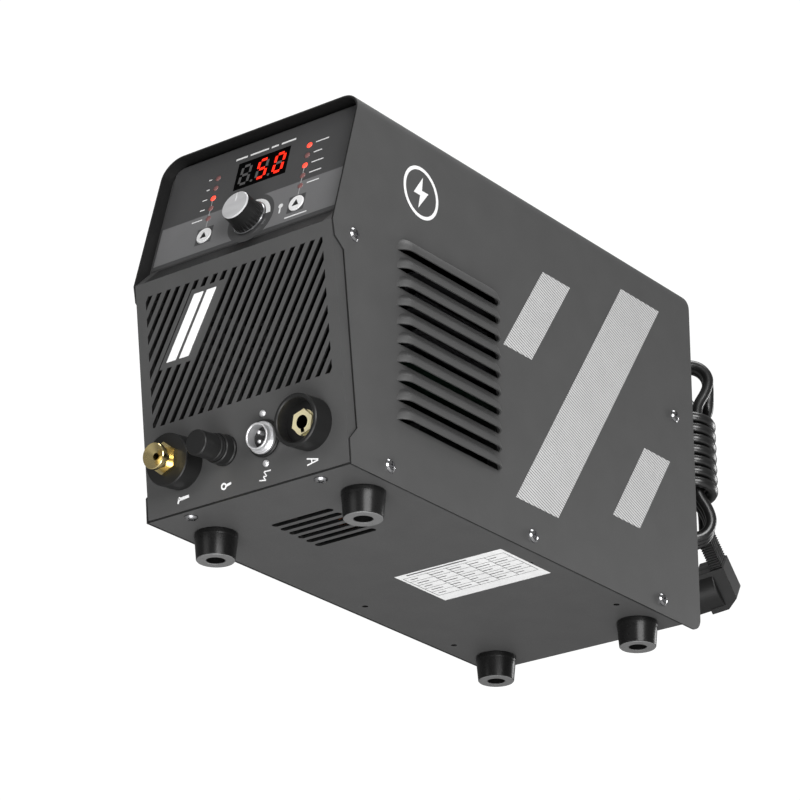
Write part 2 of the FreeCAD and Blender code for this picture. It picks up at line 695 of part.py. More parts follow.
pilot_base = turned("pilot_terminal_base",
                    [(0.0, -18.0), (3.0, -18.0), (3.0, -12.0), (4.0, -12.0), (4.0, 0.0), (10.4, 0.0),
                     (10.4, 1.6), (9.9, 2.2), (9.9, 8.6), (9.3, 9.2), (3.0, 9.2), (3.0, 23.0), (0.0, 23.0)])
node(on_lower(pilot_base, D.pilot_x, DROP))
washer = turned("pilot_terminal_washer", [(3.08, 9.5), (8.6, 9.5), (8.6, 10.6), (3.08, 10.6)])
node(on_lower(washer, D.pilot_x, DROP))
pilot_cap = turned("pilot_terminal_cap",
                   [(3.08, 10.9), (9.0, 10.9), (9.0, 12.8), (8.3, 13.3), (8.3, 14.4), (8.6, 14.9),
                    (8.55, 28.2), (8.0, 28.8), (0.0, 28.8), (0.0, 27.4), (3.08, 27.4)])
node(on_lower(pilot_cap, D.pilot_x, DROP))

gasket = turned("signal_socket_gasket", [(9.0, SEAT), (12.4, SEAT), (12.4, 1.2), (11.9, 1.8), (9.0, 1.8)])
node(on_lower(gasket, D.signal_x, DROP))
shell = turned("signal_socket_shell",
               [(7.5, -12.0), (8.4, -12.0), (8.4, 1.8), (10.7, 1.8), (10.7, 3.4), (10.2, 4.0),
                (8.87, 4.0), (8.87, 8.1), (8.6, 8.4), (7.9, 8.4), (7.6, 8.1)])
node(on_lower(shell, D.signal_x, DROP))
PIN_RADIUS, PIN_OFFSET = 1.25, 3.1
insert_disc = disc("signal_insert_disc", 7.45, -11.0, 0.8)
insert_holes = [place(disc(f"signal_insert_hole_{s}", PIN_RADIUS, -12, 2), (0, PIN_OFFSET * s, 0))
                for s in (-1, 1)]
node(on_lower(cut("signal_socket_insert", insert_disc, *insert_holes), D.signal_x, DROP))
pins = []
for side in (-1, 1):
    pin = turned(f"signal_pin_{side}", [(0, -14.0), (PIN_RADIUS, -14.0), (PIN_RADIUS, 5.6), (0.7, 6.2),
                                        (0, 6.2)])
    pins.append(on_lower(pin, D.signal_x, DROP + PIN_OFFSET * side))
node(group("signal_socket_pins", pins))
rivets = []
for side in (-1, 1):
    rivet = turned(f"signal_screw_{side}", [(0, -7), (1.3, -7), (1.3, SEAT), (2.35, SEAT), (2.35, 0.5),
                                            (1.7, 1.3), (0, 1.5)])
    rivets.append(on_lower(rivet, D.signal_x, DROP + 16.64 * side))
node(group("signal_socket_screws", rivets))

collar = turned("work_socket_collar",
                [(8.7, -12.0), (11.0, -12.0), (11.0, 0.0), (17.3, 0.0), (17.3, 15.3), (16.6, 16.1),
                 (15.0, 16.1), (14.4, 15.5), (14.4, 6.4), (8.7, 6.4)])
node(on_lower(collar, D.work_x, DROP))
WORK_BORE = 4.5
hexagon = doc.addObject("Part::Prism", "work_insert_hexagon")
hexagon.Polygon = 6
hexagon.Circumradius = 8.6
hexagon.Height = 2.3
place(hexagon, (0, 0, 6.4), Rotation(Vector(0, 0, 1), 15))
work_barrel = disc("work_insert_barrel", 8.6, -26.0, 6.4)
work_bore = disc("work_insert_bore", WORK_BORE, -20.0, 12.0)
work_key = pad("work_insert_key", "XY_Plane", [[(-1.4, -6.9), (1.4, -6.9), (1.4, 0.0), (-1.4, 0.0)]], 0.0,
               12.0)
work_insert = cut("work_socket_insert", fuse("work_insert_solid", hexagon, work_barrel), work_bore, work_key)
node(on_lower(work_insert, D.work_x, DROP))

# ---------------------------------------------------------------------- cover

cover_section = [(HALF, BASE), (HALF, TOP), (-HALF, TOP), (-HALF, BASE)]
cover_fold = bent_sheet("cover_fold", "XZ_Plane", cover_section, back(-1.0), D.cover_length + 1.0, D.sheet)


def along_top(edge, middle):
    return abs(edge.BoundBox.YLength - number(D.cover_length) - 1.0) < 0.01 and middle.z > number(TOP) - 2


rounded(cover_fold, D.cover_bend, lambda edge, middle: along_top(edge,
                                                                 middle) and middle.z > number(TOP) - 0.1)
rounded(cover_fold, D.cover_bend - D.sheet, lambda edge, middle: abs(middle.z - number(TOP - D.sheet)) < 0.1
        and edge.BoundBox.YLength > 400 and abs(abs(middle.x) - number(HALF - D.sheet)) < 0.1)
REAR_ROUND = 10.0
cover_outline = pad(
    "cover_outline", "YZ_Plane",
    [[(back(D.bottom_setback), BASE), (back(18.9), BASE + 17.0), (back(26.2), BASE + 25.9),
      (back(11.5), BASE + 144.8), (back(2.3), BASE + 151.7), (back(0), CREASE),
      (back(D.top_setback), TOP), (back(D.cover_length), TOP), (back(D.cover_length), BASE)]],
    -HALF - 1, D.cover_width + 2,
)
rounded(cover_outline, REAR_ROUND, lambda edge, middle: edge.BoundBox.XLength > 160
        and abs(middle.z - number(BASE)) < 0.1 and middle.y > number(back(400)))
cover_plain = boolean("Common", "cover_plain", cover_fold, [cover_outline])

LOUVRES = 10
LOUVRE_FRONT, LOUVRE_REAR, LOUVRE_LOWEST = 65.7, 178.5, 45.6
rise, tall = number(D.louvre_rise), number(D.louvre_height)
louvre_radius = (tall * tall / rise + rise) / 2
louvre_axis = louvre_radius - rise
LOUVRE_WALL, LOUVRE_ROOM = 1.2, 12.0


def capsule(radius, low, side):
    """A rod with ball ends along Y, whose face reaches past the cover side."""
    x = side * (number(HALF) - louvre_axis)
    reach = tall + 0.6
    ends = [Vector(x, number(back(LOUVRE_FRONT + reach)), low),
            Vector(x, number(back(LOUVRE_REAR - reach)), low)]
    solid = Part.makeCylinder(radius, (ends[1] - ends[0]).Length, ends[0], ends[1] - ends[0])
    for end in ends:
        solid = solid.fuse(Part.makeSphere(radius, end))
    return solid


def slab(x_low, x_high, z_low, z_high):
    """A block over the louvre field."""
    start = Vector(x_low, number(back(40)), z_low)
    return Part.makeBox(x_high - x_low, 170, z_high - z_low, start)


hoods, openings = [], []
for side in (-1, 1):
    inner, outer = sorted((side * number(HALF - D.sheet), side * (number(HALF) + LOUVRE_ROOM)))
    skin = sorted((side * (number(HALF - D.sheet) - 1.0), side * (number(HALF) + LOUVRE_ROOM)))
    for i in range(LOUVRES):
        low = number(BASE) + LOUVRE_LOWEST + number(D.louvre_pitch) * i
        bulge = capsule(louvre_radius, low, side).common(slab(inner, outer, low, low + 20))
        hollow = capsule(louvre_radius - LOUVRE_WALL, low, side).common(slab(*skin, low - 0.01, low + 20))
        hoods.append(bulge.cut(hollow))
        openings.append(hollow)
louvre_openings = doc.addObject("Part::Feature", "louvre_openings")
louvre_openings.Shape = Part.makeCompound(openings)
louvre_hoods = doc.addObject("Part::Feature", "louvre_hoods")
louvre_hoods.Shape = Part.makeCompound(hoods)

cover_cuts = [louvre_openings]
for i, (y, z) in enumerate(SIDE_SCREWS):
    cover_cuts.append(rod(f"cover_hole_{i}", (-HALF - 5, back(y), BASE + z), SCREW_HOLE,
                          D.cover_width + 10, "x"))
HANDLE_FRONT, HANDLE_REAR = 128.0, 292.0
for y in (HANDLE_FRONT, HANDLE_REAR):
    cover_cuts.append(rod(f"handle_hole_{y:.0f}", (0, back(y), TOP - 6), 2.8, 12))
cover_open = cut("cover_open", cover_plain, *cover_cuts)
node(fuse("cover", cover_open, louvre_hoods))

# --------------------------------------------------------------- carry handle

HANDLE_RISE, HANDLE_TUBE = 38.0, 13.0
handle_line = [(back(HANDLE_FRONT - 16), TOP + 0.05), (back(HANDLE_FRONT + 14), TOP + 0.05),
               (back(HANDLE_FRONT + 24), TOP + HANDLE_RISE - HANDLE_TUBE),
               (back(HANDLE_REAR - 24), TOP + HANDLE_RISE - HANDLE_TUBE),
               (back(HANDLE_REAR - 14), TOP + 0.05), (back(HANDLE_REAR + 16), TOP + 0.05),
               (back(HANDLE_REAR + 2), TOP + HANDLE_RISE), (back(HANDLE_FRONT - 2), TOP + HANDLE_RISE)]
handle = pad("carry_handle_blank", "YZ_Plane", [handle_line], -13.0, 26.0)
rounded(handle, 4.5, lambda edge, middle: edge.BoundBox.XLength < 0.1 and middle.z > number(TOP) + 4)
handle_bores = [rod(f"handle_bore_{y:.0f}", (0, back(y), TOP - 1), 2.1, 16) for y in (HANDLE_FRONT,
                                                                                      HANDLE_REAR)]
node(cut("carry_handle", handle, *handle_bores))
handle_screws = [screw(f"handle_screw_{y:.0f}", (0, back(y), TOP - D.sheet), "-z", head=4.8, shank=2.1,
                       reach=14.0)
                 for y in (HANDLE_FRONT, HANDLE_REAR)]
node(group("handle_screws", handle_screws))

# ----------------------------------------------------------------- rear panel

REAR = back(D.rear_face)
rear_high, rear_low = TOP - D.sheet - D.panel_gap, BASE + D.sheet + 0.05
rear_plate = block("rear_plate", (-INSIDE, REAR - D.sheet, rear_low), (INSIDE, REAR, rear_high))
rear_parts = [rear_plate]
rear_parts.append(block("rear_return_top", (-60.0, REAR - 0.5, rear_high - D.sheet),
                        (60.0, REAR + D.flange_depth, rear_high)))
rear_parts.append(block("rear_return_bottom", (-WALL_IN + 0.3, REAR - 0.5, rear_low),
                        (WALL_IN - 0.3, REAR + 9.0, rear_low + D.sheet)))
for side in (-1, 1):
    low, high = sorted((number(INSIDE) * side, number(INSIDE - D.sheet) * side))
    rear_parts.append(block(f"rear_return_{side}", (low, REAR - 0.5, BASE + 24.0),
                            (high, REAR + D.flange_depth, BASE + 246.0)))
rear_blank = boolean("Common", "rear_blank", fuse("rear_bent", *rear_parts), [cavity])
SWITCH_X, SWITCH_HEIGHT = 44.0, 176.0
INLET_X, INLET_HEIGHT = -50.0, 196.0
FAN_BOLT = 52.5
FAN_Z = BASE + D.fan_height
rear_cuts = [
    rod("rear_fan_hole", (0, REAR - 6, FAN_Z), 56.0, 12, "y"),
    block("rear_switch_hole", (SWITCH_X - 13.2, REAR - 6, BASE + SWITCH_HEIGHT - 10.2),
          (SWITCH_X + 13.2, REAR + 6, BASE + SWITCH_HEIGHT + 10.2)),
    rod("rear_gland_hole", (D.gland_x, REAR - 6, BASE + D.gland_height), 8.2, 12, "y"),
    rod("rear_inlet_hole", (INLET_X, REAR - 6, BASE + INLET_HEIGHT), 6.7, 12, "y"),
    rod("rear_side_hole", (-HALF - 5, back(SIDE_SCREWS[1][0]), BASE + SIDE_SCREWS[1][1]), SCREW_HOLE,
        D.cover_width + 10, "x"),
]
for side in (-1, 1):
    low, high = sorted((number(WALL_IN - 0.3) * side, number(INSIDE + 1) * side))
    rear_cuts.append(block(f"rear_corner_{side}", (low, REAR - 6, BASE), (high, REAR + 2, FLANGE_TOP + 0.3)))
for dx in (-1, 1):
    for dz in (-1, 1):
        rear_cuts.append(rod(f"fan_bolt_hole_{dx}_{dz}", (FAN_BOLT * dx, REAR - 6, FAN_Z + FAN_BOLT * dz),
                             SCREW_HOLE, 12, "y"))
node(cut("rear_panel", rear_blank, *rear_cuts))

panel_screws = []
for i, (x, y) in enumerate(BASE_SCREWS):
    panel_screws.append(screw(f"base_screw_{i}", (x, back(y), BASE), "-z", head=4.4))
node(group("base_screws", panel_screws))

# ------------------------------------------------------------------------ fan

half_fan = D.fan_size / 2
fan_low = REAR - D.sheet - 25.2
fan_block = block("fan_block", (-half_fan, fan_low, FAN_Z - half_fan),
                  (half_fan, REAR - D.sheet - 0.2, FAN_Z + half_fan))
rounded_block = doc.addObject("Part::Fillet", "fan_block_rounded")
rounded_block.Base = fan_block
doc.recompute()
rounded_block.Edges = [(i, 4.0, 4.0) for i, e in enumerate(fan_block.Shape.Edges,
                                                           start=1) if e.BoundBox.YLength > 20]
fan_cuts = [rod("fan_duct", (0, fan_low - 1, FAN_Z), 57.5, 30, "y")]
for dx in (-1, 1):
    for dz in (-1, 1):
        fan_cuts.append(rod(f"fan_corner_{dx}_{dz}", (FAN_BOLT * dx, fan_low - 1, FAN_Z + FAN_BOLT * dz),
                            2.15, 30, "y"))
fan_shell = cut("fan_shell", rounded_block, *fan_cuts)
fan_parts = [fan_shell, rod("fan_motor_seat", (0, fan_low, FAN_Z), 20.0, 3.0, "y")]
for turn in (0, 90, 180, 270):
    strut = doc.addObject("Part::Box", f"fan_strut_{turn}")
    strut.Length, strut.Width, strut.Height = 60.0, 3.0, 5.0
    angle = math.radians(turn)
    shift = Vector(math.sin(angle), 0, math.cos(angle)) * -2.5
    place(strut, (shift.x, fan_low, FAN_Z + shift.z), Rotation(Vector(0, 1, 0), -turn))
    fan_parts.append(strut)
node(fuse("fan_frame", *fan_parts))

rotor_hub = turned("fan_hub", [(0, 0), (19.0, 0), (19.0, 18.0), (17.0, 20.0), (0, 20.0)])
BLADES = 7
blade = pad("fan_blades", "XY_Plane", [[(17.5, -2.0), (55.0, 12.5), (53.0, 18.5), (17.5, 5.0)]], 1.0, 17.0)
doc.recompute()
blades = blade.newObject("PartDesign::PolarPattern", "fan_blade_ring")
blades.Originals = [blade.Group[1]]
blades.Axis = (next(f for f in blade.Origin.OriginFeatures if f.Role == "Z_Axis"), [""])
blades.Angle = 360
blades.Occurrences = BLADES
blade.Tip = blades
rotor = fuse("fan_rotor", rotor_hub, blade)
node(place(rotor, (0, fan_low + 3.6, FAN_Z), TURNS["y"]))

guard_rings = []
for i, radius in enumerate((12.0, 24.0, 36.0, 48.0, 58.0)):
    ring_item = doc.addObject("Part::Torus", f"guard_ring_{i}")
    ring_item.Radius1, ring_item.Radius2 = radius, 1.0
    place(ring_item, (0, REAR + 3.0, FAN_Z), TURNS["y"])
    guard_rings.append(ring_item)
for i, turn in enumerate((45, 135, 225, 315)):
    bar = doc.addObject("Part::Cylinder", f"guard_bar_{i}")
    bar.Radius, bar.Height = 1.1, 64.0
    angle = math.radians(turn)
    spot = (math.sin(angle) * 11, REAR + 3.0, FAN_Z + math.cos(angle) * 11)
    place(bar, spot, Rotation(Vector(0, 1, 0), turn))
    eye_x, eye_z = math.copysign(FAN_BOLT, math.sin(angle)), math.copysign(FAN_BOLT, math.cos(angle))
    eye = rod(f"guard_eye_{i}", (eye_x, REAR + 0.05, FAN_Z + eye_z), 5.0, 3.9, "y")
    guard_rings += [bar, eye]
guard_solid = fuse("guard_solid", *guard_rings)
guard_holes = [rod(f"guard_hole_{dx}_{dz}", (FAN_BOLT * dx, REAR - 2, FAN_Z + FAN_BOLT * dz), 2.2, 10, "y")
               for dx in (-1, 1) for dz in (-1, 1)]
node(cut("fan_guard", guard_solid, *guard_holes))
fan_screws = [screw(f"fan_screw_{dx}_{dz}", (FAN_BOLT * dx, REAR + 4.0, FAN_Z + FAN_BOLT * dz), "y",
                    reach=26.0)
              for dx in (-1, 1) for dz in (-1, 1)]
node(group("fan_screws", fan_screws))

# --------------------------------------------------------- mains switch, gland

SWITCH_Z = BASE + SWITCH_HEIGHT
switch_flange = block("switch_flange", (SWITCH_X - 16, REAR + 0.05, SWITCH_Z - 13),
                      (SWITCH_X + 16, REAR + 2.2, SWITCH_Z + 13))
switch_case = block("switch_case", (SWITCH_X - 13, REAR - 24, SWITCH_Z - 10),
                    (SWITCH_X + 13, REAR + 0.2, SWITCH_Z + 10))
switch_well = block("switch_well", (SWITCH_X - 11.4, REAR - 10, SWITCH_Z - 8.6),
                    (SWITCH_X + 11.4, REAR + 4, SWITCH_Z + 8.6))
node(cut("mains_switch_housing", fuse("switch_solid", switch_flange, switch_case), switch_well))

# The rocker turns about an axis along X, one face in and one face out.
ROCKER_TILT = 11.0
rocker = pad("mains_rocker", "YZ_Plane",
             [[(-3.2, -4.5), (0.0, -8.1), (2.4, -8.0), (0.9, 0.0), (2.4, 8.0), (0.0, 8.1), (-3.2, 4.5)]],
             -11.0, 22.0)
node(place(rocker, (SWITCH_X, REAR + 1.2, SWITCH_Z), Rotation(Vector(1, 0, 0), ROCKER_TILT)))

GLAND_Z = BASE + D.gland_height
CORD_RADIUS = D.cord_diameter / 2
gland = turned("cable_gland",
               [(CORD_RADIUS + 0.1, -14.0), (8.0, -14.0), (8.0, 0.05), (12.0, 0.05), (12.0, 5.0), (10.6, 5.6),
                (10.6, 11.0), (9.6, 12.0), (CORD_RADIUS + 0.1, 12.0)])
node(place(gland, (D.gland_x, REAR, GLAND_Z), TURNS["y"]))
relief = turned("strain_relief", [(0, 12.05), (6.6, 12.05), (4.9, 38.0), (0, 38.0)])
node(place(relief, (D.gland_x, REAR, GLAND_Z), TURNS["y"]))

inlet = turned("air_inlet",
               [(2.5, -16.0), (6.5, -16.0), (6.5, 0.05), (9.0, 0.05), (9.0, 6.0), (6.0, 6.6), (6.0, 12.0),
                (7.0, 12.6), (5.0, 16.0), (7.0, 16.2), (5.0, 20.4), (7.0, 20.6), (4.6, 26.0), (2.5, 26.0)])
INLET_Z = BASE + INLET_HEIGHT
node(place(inlet, (INLET_X, REAR, INLET_Z), TURNS["y"]))

# -------------------------------------------------------------------- insides

valve_low = back(300)
valve_body = block("valve_body", (INLET_X - 13, valve_low, INLET_Z - 14),
                   (INLET_X + 13, REAR - 16.1, INLET_Z + 12))
valve_coil = rod("valve_coil", (INLET_X, back(336), INLET_Z + 11.5), 12.0, 30, "z")
solenoid_valve = node(fuse("solenoid_valve", valve_body, valve_coil))

PCB_Z = BASE + 104.0
PCB_FRONT, PCB_REAR, PCB_HALF = back(70), back(352), 70.0
pcb = block("pcb_plate", (-PCB_HALF, PCB_FRONT, PCB_Z), (PCB_HALF, PCB_REAR, PCB_Z + 2))
node(pcb)
pcb.Label = "main_board"
pillars = []
for side in (-1, 1):
    for y in (80, 340):
        pillars.append(rod(f"pillar_{side}_{y}", (52.0 * side, back(y), BASE + D.sheet + 0.05), 3.5,
                           PCB_Z - BASE - D.sheet - 0.1))
node(group("board_pillars", pillars))

HEATSINK_REAR = 250.0
for side, name in ((-1, "left"), (1, "right")):
    spine_x = sorted((side * 30.0, side * 36.0))
    fins = [block(f"heatsink_{name}_spine", (spine_x[0], back(110), PCB_Z + 2.05),
                  (spine_x[1], back(HEATSINK_REAR), PCB_Z + 72))]
    for i in range(8):
        reach = sorted((side * 35.5, side * 68.0))
        z = PCB_Z + 6.0 + 8.6 * i
        fins.append(block(f"heatsink_{name}_fin_{i}", (reach[0], back(110), z),
                          (reach[1], back(HEATSINK_REAR), z + 2.0)))
    node(fuse(f"heatsink_{name}", *fins))

caps = []
for i in range(3):
    caps.append(rod(f"capacitor_{i}", (0, back(140 + 45 * i), PCB_Z + 2.05), 17.5, 50))
node(group("capacitor_bank", caps))

core_outer = block("core_outer", (-40, back(150), BASE + D.sheet + 0.05), (40, back(226), BASE + 84))
core_windows = [block("core_window_1", (-26, back(140), BASE + 20), (-11, back(236), BASE + 70)),
                block("core_window_2", (11, back(140), BASE + 20), (26, back(236), BASE + 70))]
node(cut("transformer_core", core_outer, *core_windows))
winding_outer = block("winding_outer", (-23, back(143), BASE + 22), (23, back(233), BASE + 68))
winding_inner = block("winding_inner", (-11.3, back(149.7), BASE + 10), (11.3, back(226.3), BASE + 80))
winding_open = cut("winding_open", winding_outer, winding_inner)
node(winding_open)
winding_open.Label = "transformer_winding"
# The air hose runs from the valve forward and down to the torch connector.
HOSE_RADIUS = 3.0


def rounded_route(points, share=0.45):
    """Straight runs joined by tangent arcs; returns the edges and the radii."""
    edges, radii, start = [], [], points[0]
    for before, corner, after in zip(points, points[1:], points[2:]):
        into, out = corner - before, after - corner
        shorter = min(into.Length, out.Length)
        trim = share * shorter
        turn = into.getAngle(out)
        radii.append(trim / math.tan(turn / 2))
        a = corner - into.normalize() * trim
        b = corner + out.normalize() * trim
        bisector = (a + b) / 2 - corner
        centre_gap = radii[-1] / math.cos(turn / 2) - radii[-1]
        middle = corner + bisector.normalize() * centre_gap
        edges.append(Part.makeLine(start, a))
        edges.append(Part.Arc(a, middle, b).toShape())
        start = b
    edges.append(Part.makeLine(start, points[-1]))
    return edges, radii


def tube(label, points, radius):
    """A round tube along a route of runs and arcs."""
    edges, radii = rounded_route([Vector(*p) for p in points])
    wire = Part.Wire(edges)
    section = Part.Wire(Part.makeCircle(radius, edges[0].Vertexes[0].Point, edges[0].tangentAt(0)))
    solid = wire.makePipeShell([section], True, False, 2)
    expected = math.pi * radius * radius * wire.Length
    print(label, "arc radii", [round(r, 1) for r in radii], "length", round(wire.Length, 1),
          "volume ratio", round(solid.Volume / expected, 4))
    item = doc.addObject("Part::Feature", label)
    item.Label = label
    item.Shape = solid
    return item


def spot(x, behind, height):
    """A point given by x, distance behind the crease, height over the base."""
    return (x, number(D.front_line) + behind, number(D.foot_height) + height)


torch_tail = LOWER.multVec(Vector(number(D.torch_x), number(DROP), -22.1))
torch_lead = LOWER.multVec(Vector(number(D.torch_x), number(DROP), -52.0))
hose_points = [tuple(torch_tail), tuple(torch_lead), spot(-68, 98, 52), spot(-76, 134, 78),
               spot(-77.5, 180, 104),
               spot(-77.5, 226, 138), spot(-73, 262, 168), spot(-59, 284, 188), spot(-50, 299.9, 191)]
hose = tube("air_hose_whole", hose_points, HOSE_RADIUS)
node(cut("air_hose", hose, solenoid_valve))

# ----------------------------------------------------------------- mains cord

# The hank hangs just behind the rear right corner: six strands folded to and
# fro, and eight tight turns round their middle.
HANK_TURN = 37.55
HANK_LOW, HANK_HIGH = 88.0, 236.0
WRAP_LOW, WRAP_HIGH = 124.0, 193.0
LOOP_HALF_WIDTH, LOOP_HALF_DEPTH = 17.6, 12.0
WRAP_HALF_WIDTH, WRAP_HALF_DEPTH = 18.7, 22.2

hank_slab = pad("hank_slab", "XZ_Plane",
                [[(-LOOP_HALF_WIDTH, HANK_LOW), (LOOP_HALF_WIDTH, HANK_LOW),
                  (LOOP_HALF_WIDTH, HANK_HIGH), (-LOOP_HALF_WIDTH, HANK_HIGH)]],
                -LOOP_HALF_DEPTH, 2 * LOOP_HALF_DEPTH)
rounded(hank_slab, LOOP_HALF_WIDTH - 0.6, lambda edge, middle: edge.BoundBox.YLength > 20)
wrap_ellipse = doc.addObject("Part::Feature", "hank_wraps")
wrap_edge = Part.Ellipse(Vector(0, 0, WRAP_LOW), WRAP_HALF_DEPTH, WRAP_HALF_WIDTH).toShape()
wrap_face = Part.Face(Part.Wire(wrap_edge))
wrap_face.rotate(Vector(0, 0, 0), Vector(0, 0, 1), 90)
wrap_ellipse.Shape = wrap_face.extrude(Vector(0, 0, WRAP_HIGH - WRAP_LOW))
TAIL = (8.8, 17.4)
hank_tail = rod("hank_tail", (*TAIL, 101.0), CORD_RADIUS, WRAP_LOW - 98.0)
hank = fuse("cord_hank", hank_slab, wrap_ellipse, hank_tail)
place(hank, (D.hank_x, back(D.hank_back), D.foot_height), Rotation(Vector(0, 0, 1), HANK_TURN))
node(hank)
doc.recompute()

LEAD = [(-15.0, 426.1, 225.0), (-15.0, 446.0, 225.0), (-8.4, 464.8, 227.0), (4.6, 479.5, 227.0),
        (21.8, 487.0, 222.5), (38.6, 486.6, 213.5), (49.2, 481.0, 200.0)]
lead = tube("cord_lead_whole", [spot(*p) for p in LEAD], number(CORD_RADIUS))
node(cut("cord_lead", lead, hank))

# The angled plug leaves the back of the hank, slanting down and away from the unit.
PLUG_AT = spot(48.0, 489.3, 102.2)
PLUG_DOWN = Vector(-0.026, 0.715, -0.695).normalize()
PLUG_FACE = Vector(-0.967, -0.208, -0.125)
PLUG_FACE = (PLUG_FACE - PLUG_DOWN * PLUG_FACE.dot(PLUG_DOWN)).normalize()
PLUG_SIDE = PLUG_FACE.cross(PLUG_DOWN)
plug_turn = Rotation(PLUG_SIDE, PLUG_FACE, PLUG_DOWN, "ZXY")
PLUG_MIDDLE = 39.6
plug_relief = pad("plug_relief", "XY_Plane", [[(-10, -6), (10, -6), (10, 4), (-10, 4)]], 0, 24.0)
plug_hand = pad("plug_hand", "YZ_Plane", [[(-6.6, 23), (16, 23), (16, 56.7), (2.5, 56.7), (-6.6, 50)]],
                -11.5, 23.0)
rounded(plug_hand, 2.5, lambda edge, middle: edge.BoundBox.XLength > 20 and middle.y < 10)
plug_head = rod("plug_head", (0, 3.0, PLUG_MIDDLE), 17.1, 33.0, "y")
plug_solid = fuse("plug_solid", plug_hand, plug_head, plug_relief)
pin_bores = [rod(f"plug_bore_{s}", (9.5 * s, 24.0, PLUG_MIDDLE), 2.4, 20, "y") for s in (-1, 1)]
plug = cut("plug_body", plug_solid, *pin_bores)
place(plug, PLUG_AT, plug_turn)
node(plug)
plug_pins = []
for s in (-1, 1):
    pin = turned(f"plug_pin_{s}", [(0, 0), (2.4, 0), (2.4, 29.4), (1.5, 31.0), (0, 31.0)])
    place(pin, (9.5 * s, 24.0, PLUG_MIDDLE), TURNS["y"])
    plug_pins.append(pin)
pins_group = group("plug_pins", plug_pins)
place(pins_group, PLUG_AT, plug_turn)
node(pins_group)

# ---------------------------------------------------------- check and write out

doc.recompute()
failed = [item.Label for item in doc.Objects if {"Invalid", "Error"} & set(item.State)]
for item in NODES:
    shape = item.Shape
    if shape.isNull() or not shape.isValid() or not shape.Solids:
        failed.append(item.Label + " (shape)")
if failed:
    raise RuntimeError("not built: " + ", ".join(failed))
os.makedirs("parts", exist_ok=True)
for item in NODES:
    item.Shape.exportStep(f"parts/{item.Label}.step")
box = FreeCAD.BoundBox()
for item in NODES:
    box.add(item.Shape.BoundBox)
print(len(NODES), "sub-parts; overall", [round(v, 1) for v in (box.XMin, box.YMin, box.ZMin, box.XMax,
                                                               box.YMax, box.ZMax)])
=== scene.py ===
import json
import math

import bmesh
import bpy
from mathutils import Matrix, Vector
from mathutils.geometry import tessellate_polygon


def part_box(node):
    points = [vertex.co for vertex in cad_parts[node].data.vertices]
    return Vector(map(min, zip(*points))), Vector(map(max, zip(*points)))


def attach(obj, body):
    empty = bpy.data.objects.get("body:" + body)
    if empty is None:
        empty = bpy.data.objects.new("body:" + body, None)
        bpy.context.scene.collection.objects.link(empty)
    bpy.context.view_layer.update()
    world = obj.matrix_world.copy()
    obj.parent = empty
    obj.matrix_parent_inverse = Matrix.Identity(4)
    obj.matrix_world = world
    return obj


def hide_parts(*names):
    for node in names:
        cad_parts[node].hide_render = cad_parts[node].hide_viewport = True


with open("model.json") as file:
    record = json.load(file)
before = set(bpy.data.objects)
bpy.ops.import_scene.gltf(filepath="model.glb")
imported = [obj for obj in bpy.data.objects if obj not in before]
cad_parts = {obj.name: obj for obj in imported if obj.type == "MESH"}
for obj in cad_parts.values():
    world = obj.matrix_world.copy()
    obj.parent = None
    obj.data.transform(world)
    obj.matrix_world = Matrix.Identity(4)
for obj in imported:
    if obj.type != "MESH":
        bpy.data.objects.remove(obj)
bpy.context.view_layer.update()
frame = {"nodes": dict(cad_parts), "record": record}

MM = 0.001
scene = bpy.context.scene

# ------------------------------------------------------------------ frames

# Fit frame of the record: x across, distance behind the front crease, height
# over the base underside.
FRONT_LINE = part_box("front_panel")[0].y
BASE_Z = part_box("base_plate")[0].z
LOWER_TALL, LOWER_SETBACK = 162.8, 20.6
UPPER_TALL, UPPER_SETBACK = 104.8, 28.2
CREASE_Z = BASE_Z + LOWER_TALL * MM
RECESS = 10.0 * MM
LOWER_LEAN = math.atan2(LOWER_SETBACK, LOWER_TALL)
UPPER_LEAN = math.atan2(UPPER_SETBACK, UPPER_TALL)


def spot(x, behind, height):
    return Vector((x * MM, FRONT_LINE + behind * MM, BASE_Z + height * MM))


def front_plane(lean, behind):
    """A plane lying on the front, from its crease: x across, y up the panel, z out of it."""
    turn = Matrix.Rotation(math.pi / 2 + lean, 4, "X")
    return Matrix.Translation(Vector((0, FRONT_LINE + behind, CREASE_Z))) @ turn


FRONT = front_plane(LOWER_LEAN, 0.0)
PANEL = front_plane(-UPPER_LEAN, RECESS)

# ------------------------------------------------------------------ camera

CAMERA_AT = Vector((1.2896, -1.70055, -0.7733))
CAMERA_LOOKS = Vector((-0.5597, 0.7281, 0.3959))
camera_data = bpy.data.cameras.new("camera")
camera_data.lens = 151.17
camera_data.sensor_width = 36.0
camera_data.clip_start = 0.05
camera_data.clip_end = 50.0
camera = bpy.data.objects.new("camera", camera_data)
camera.location = CAMERA_AT
camera.rotation_euler = CAMERA_LOOKS.to_track_quat("-Z", "Y").to_euler()
scene.collection.objects.link(camera)
scene.camera = camera
scene.view_settings.view_transform = "Standard"

# --------------------------------------------------------------- materials


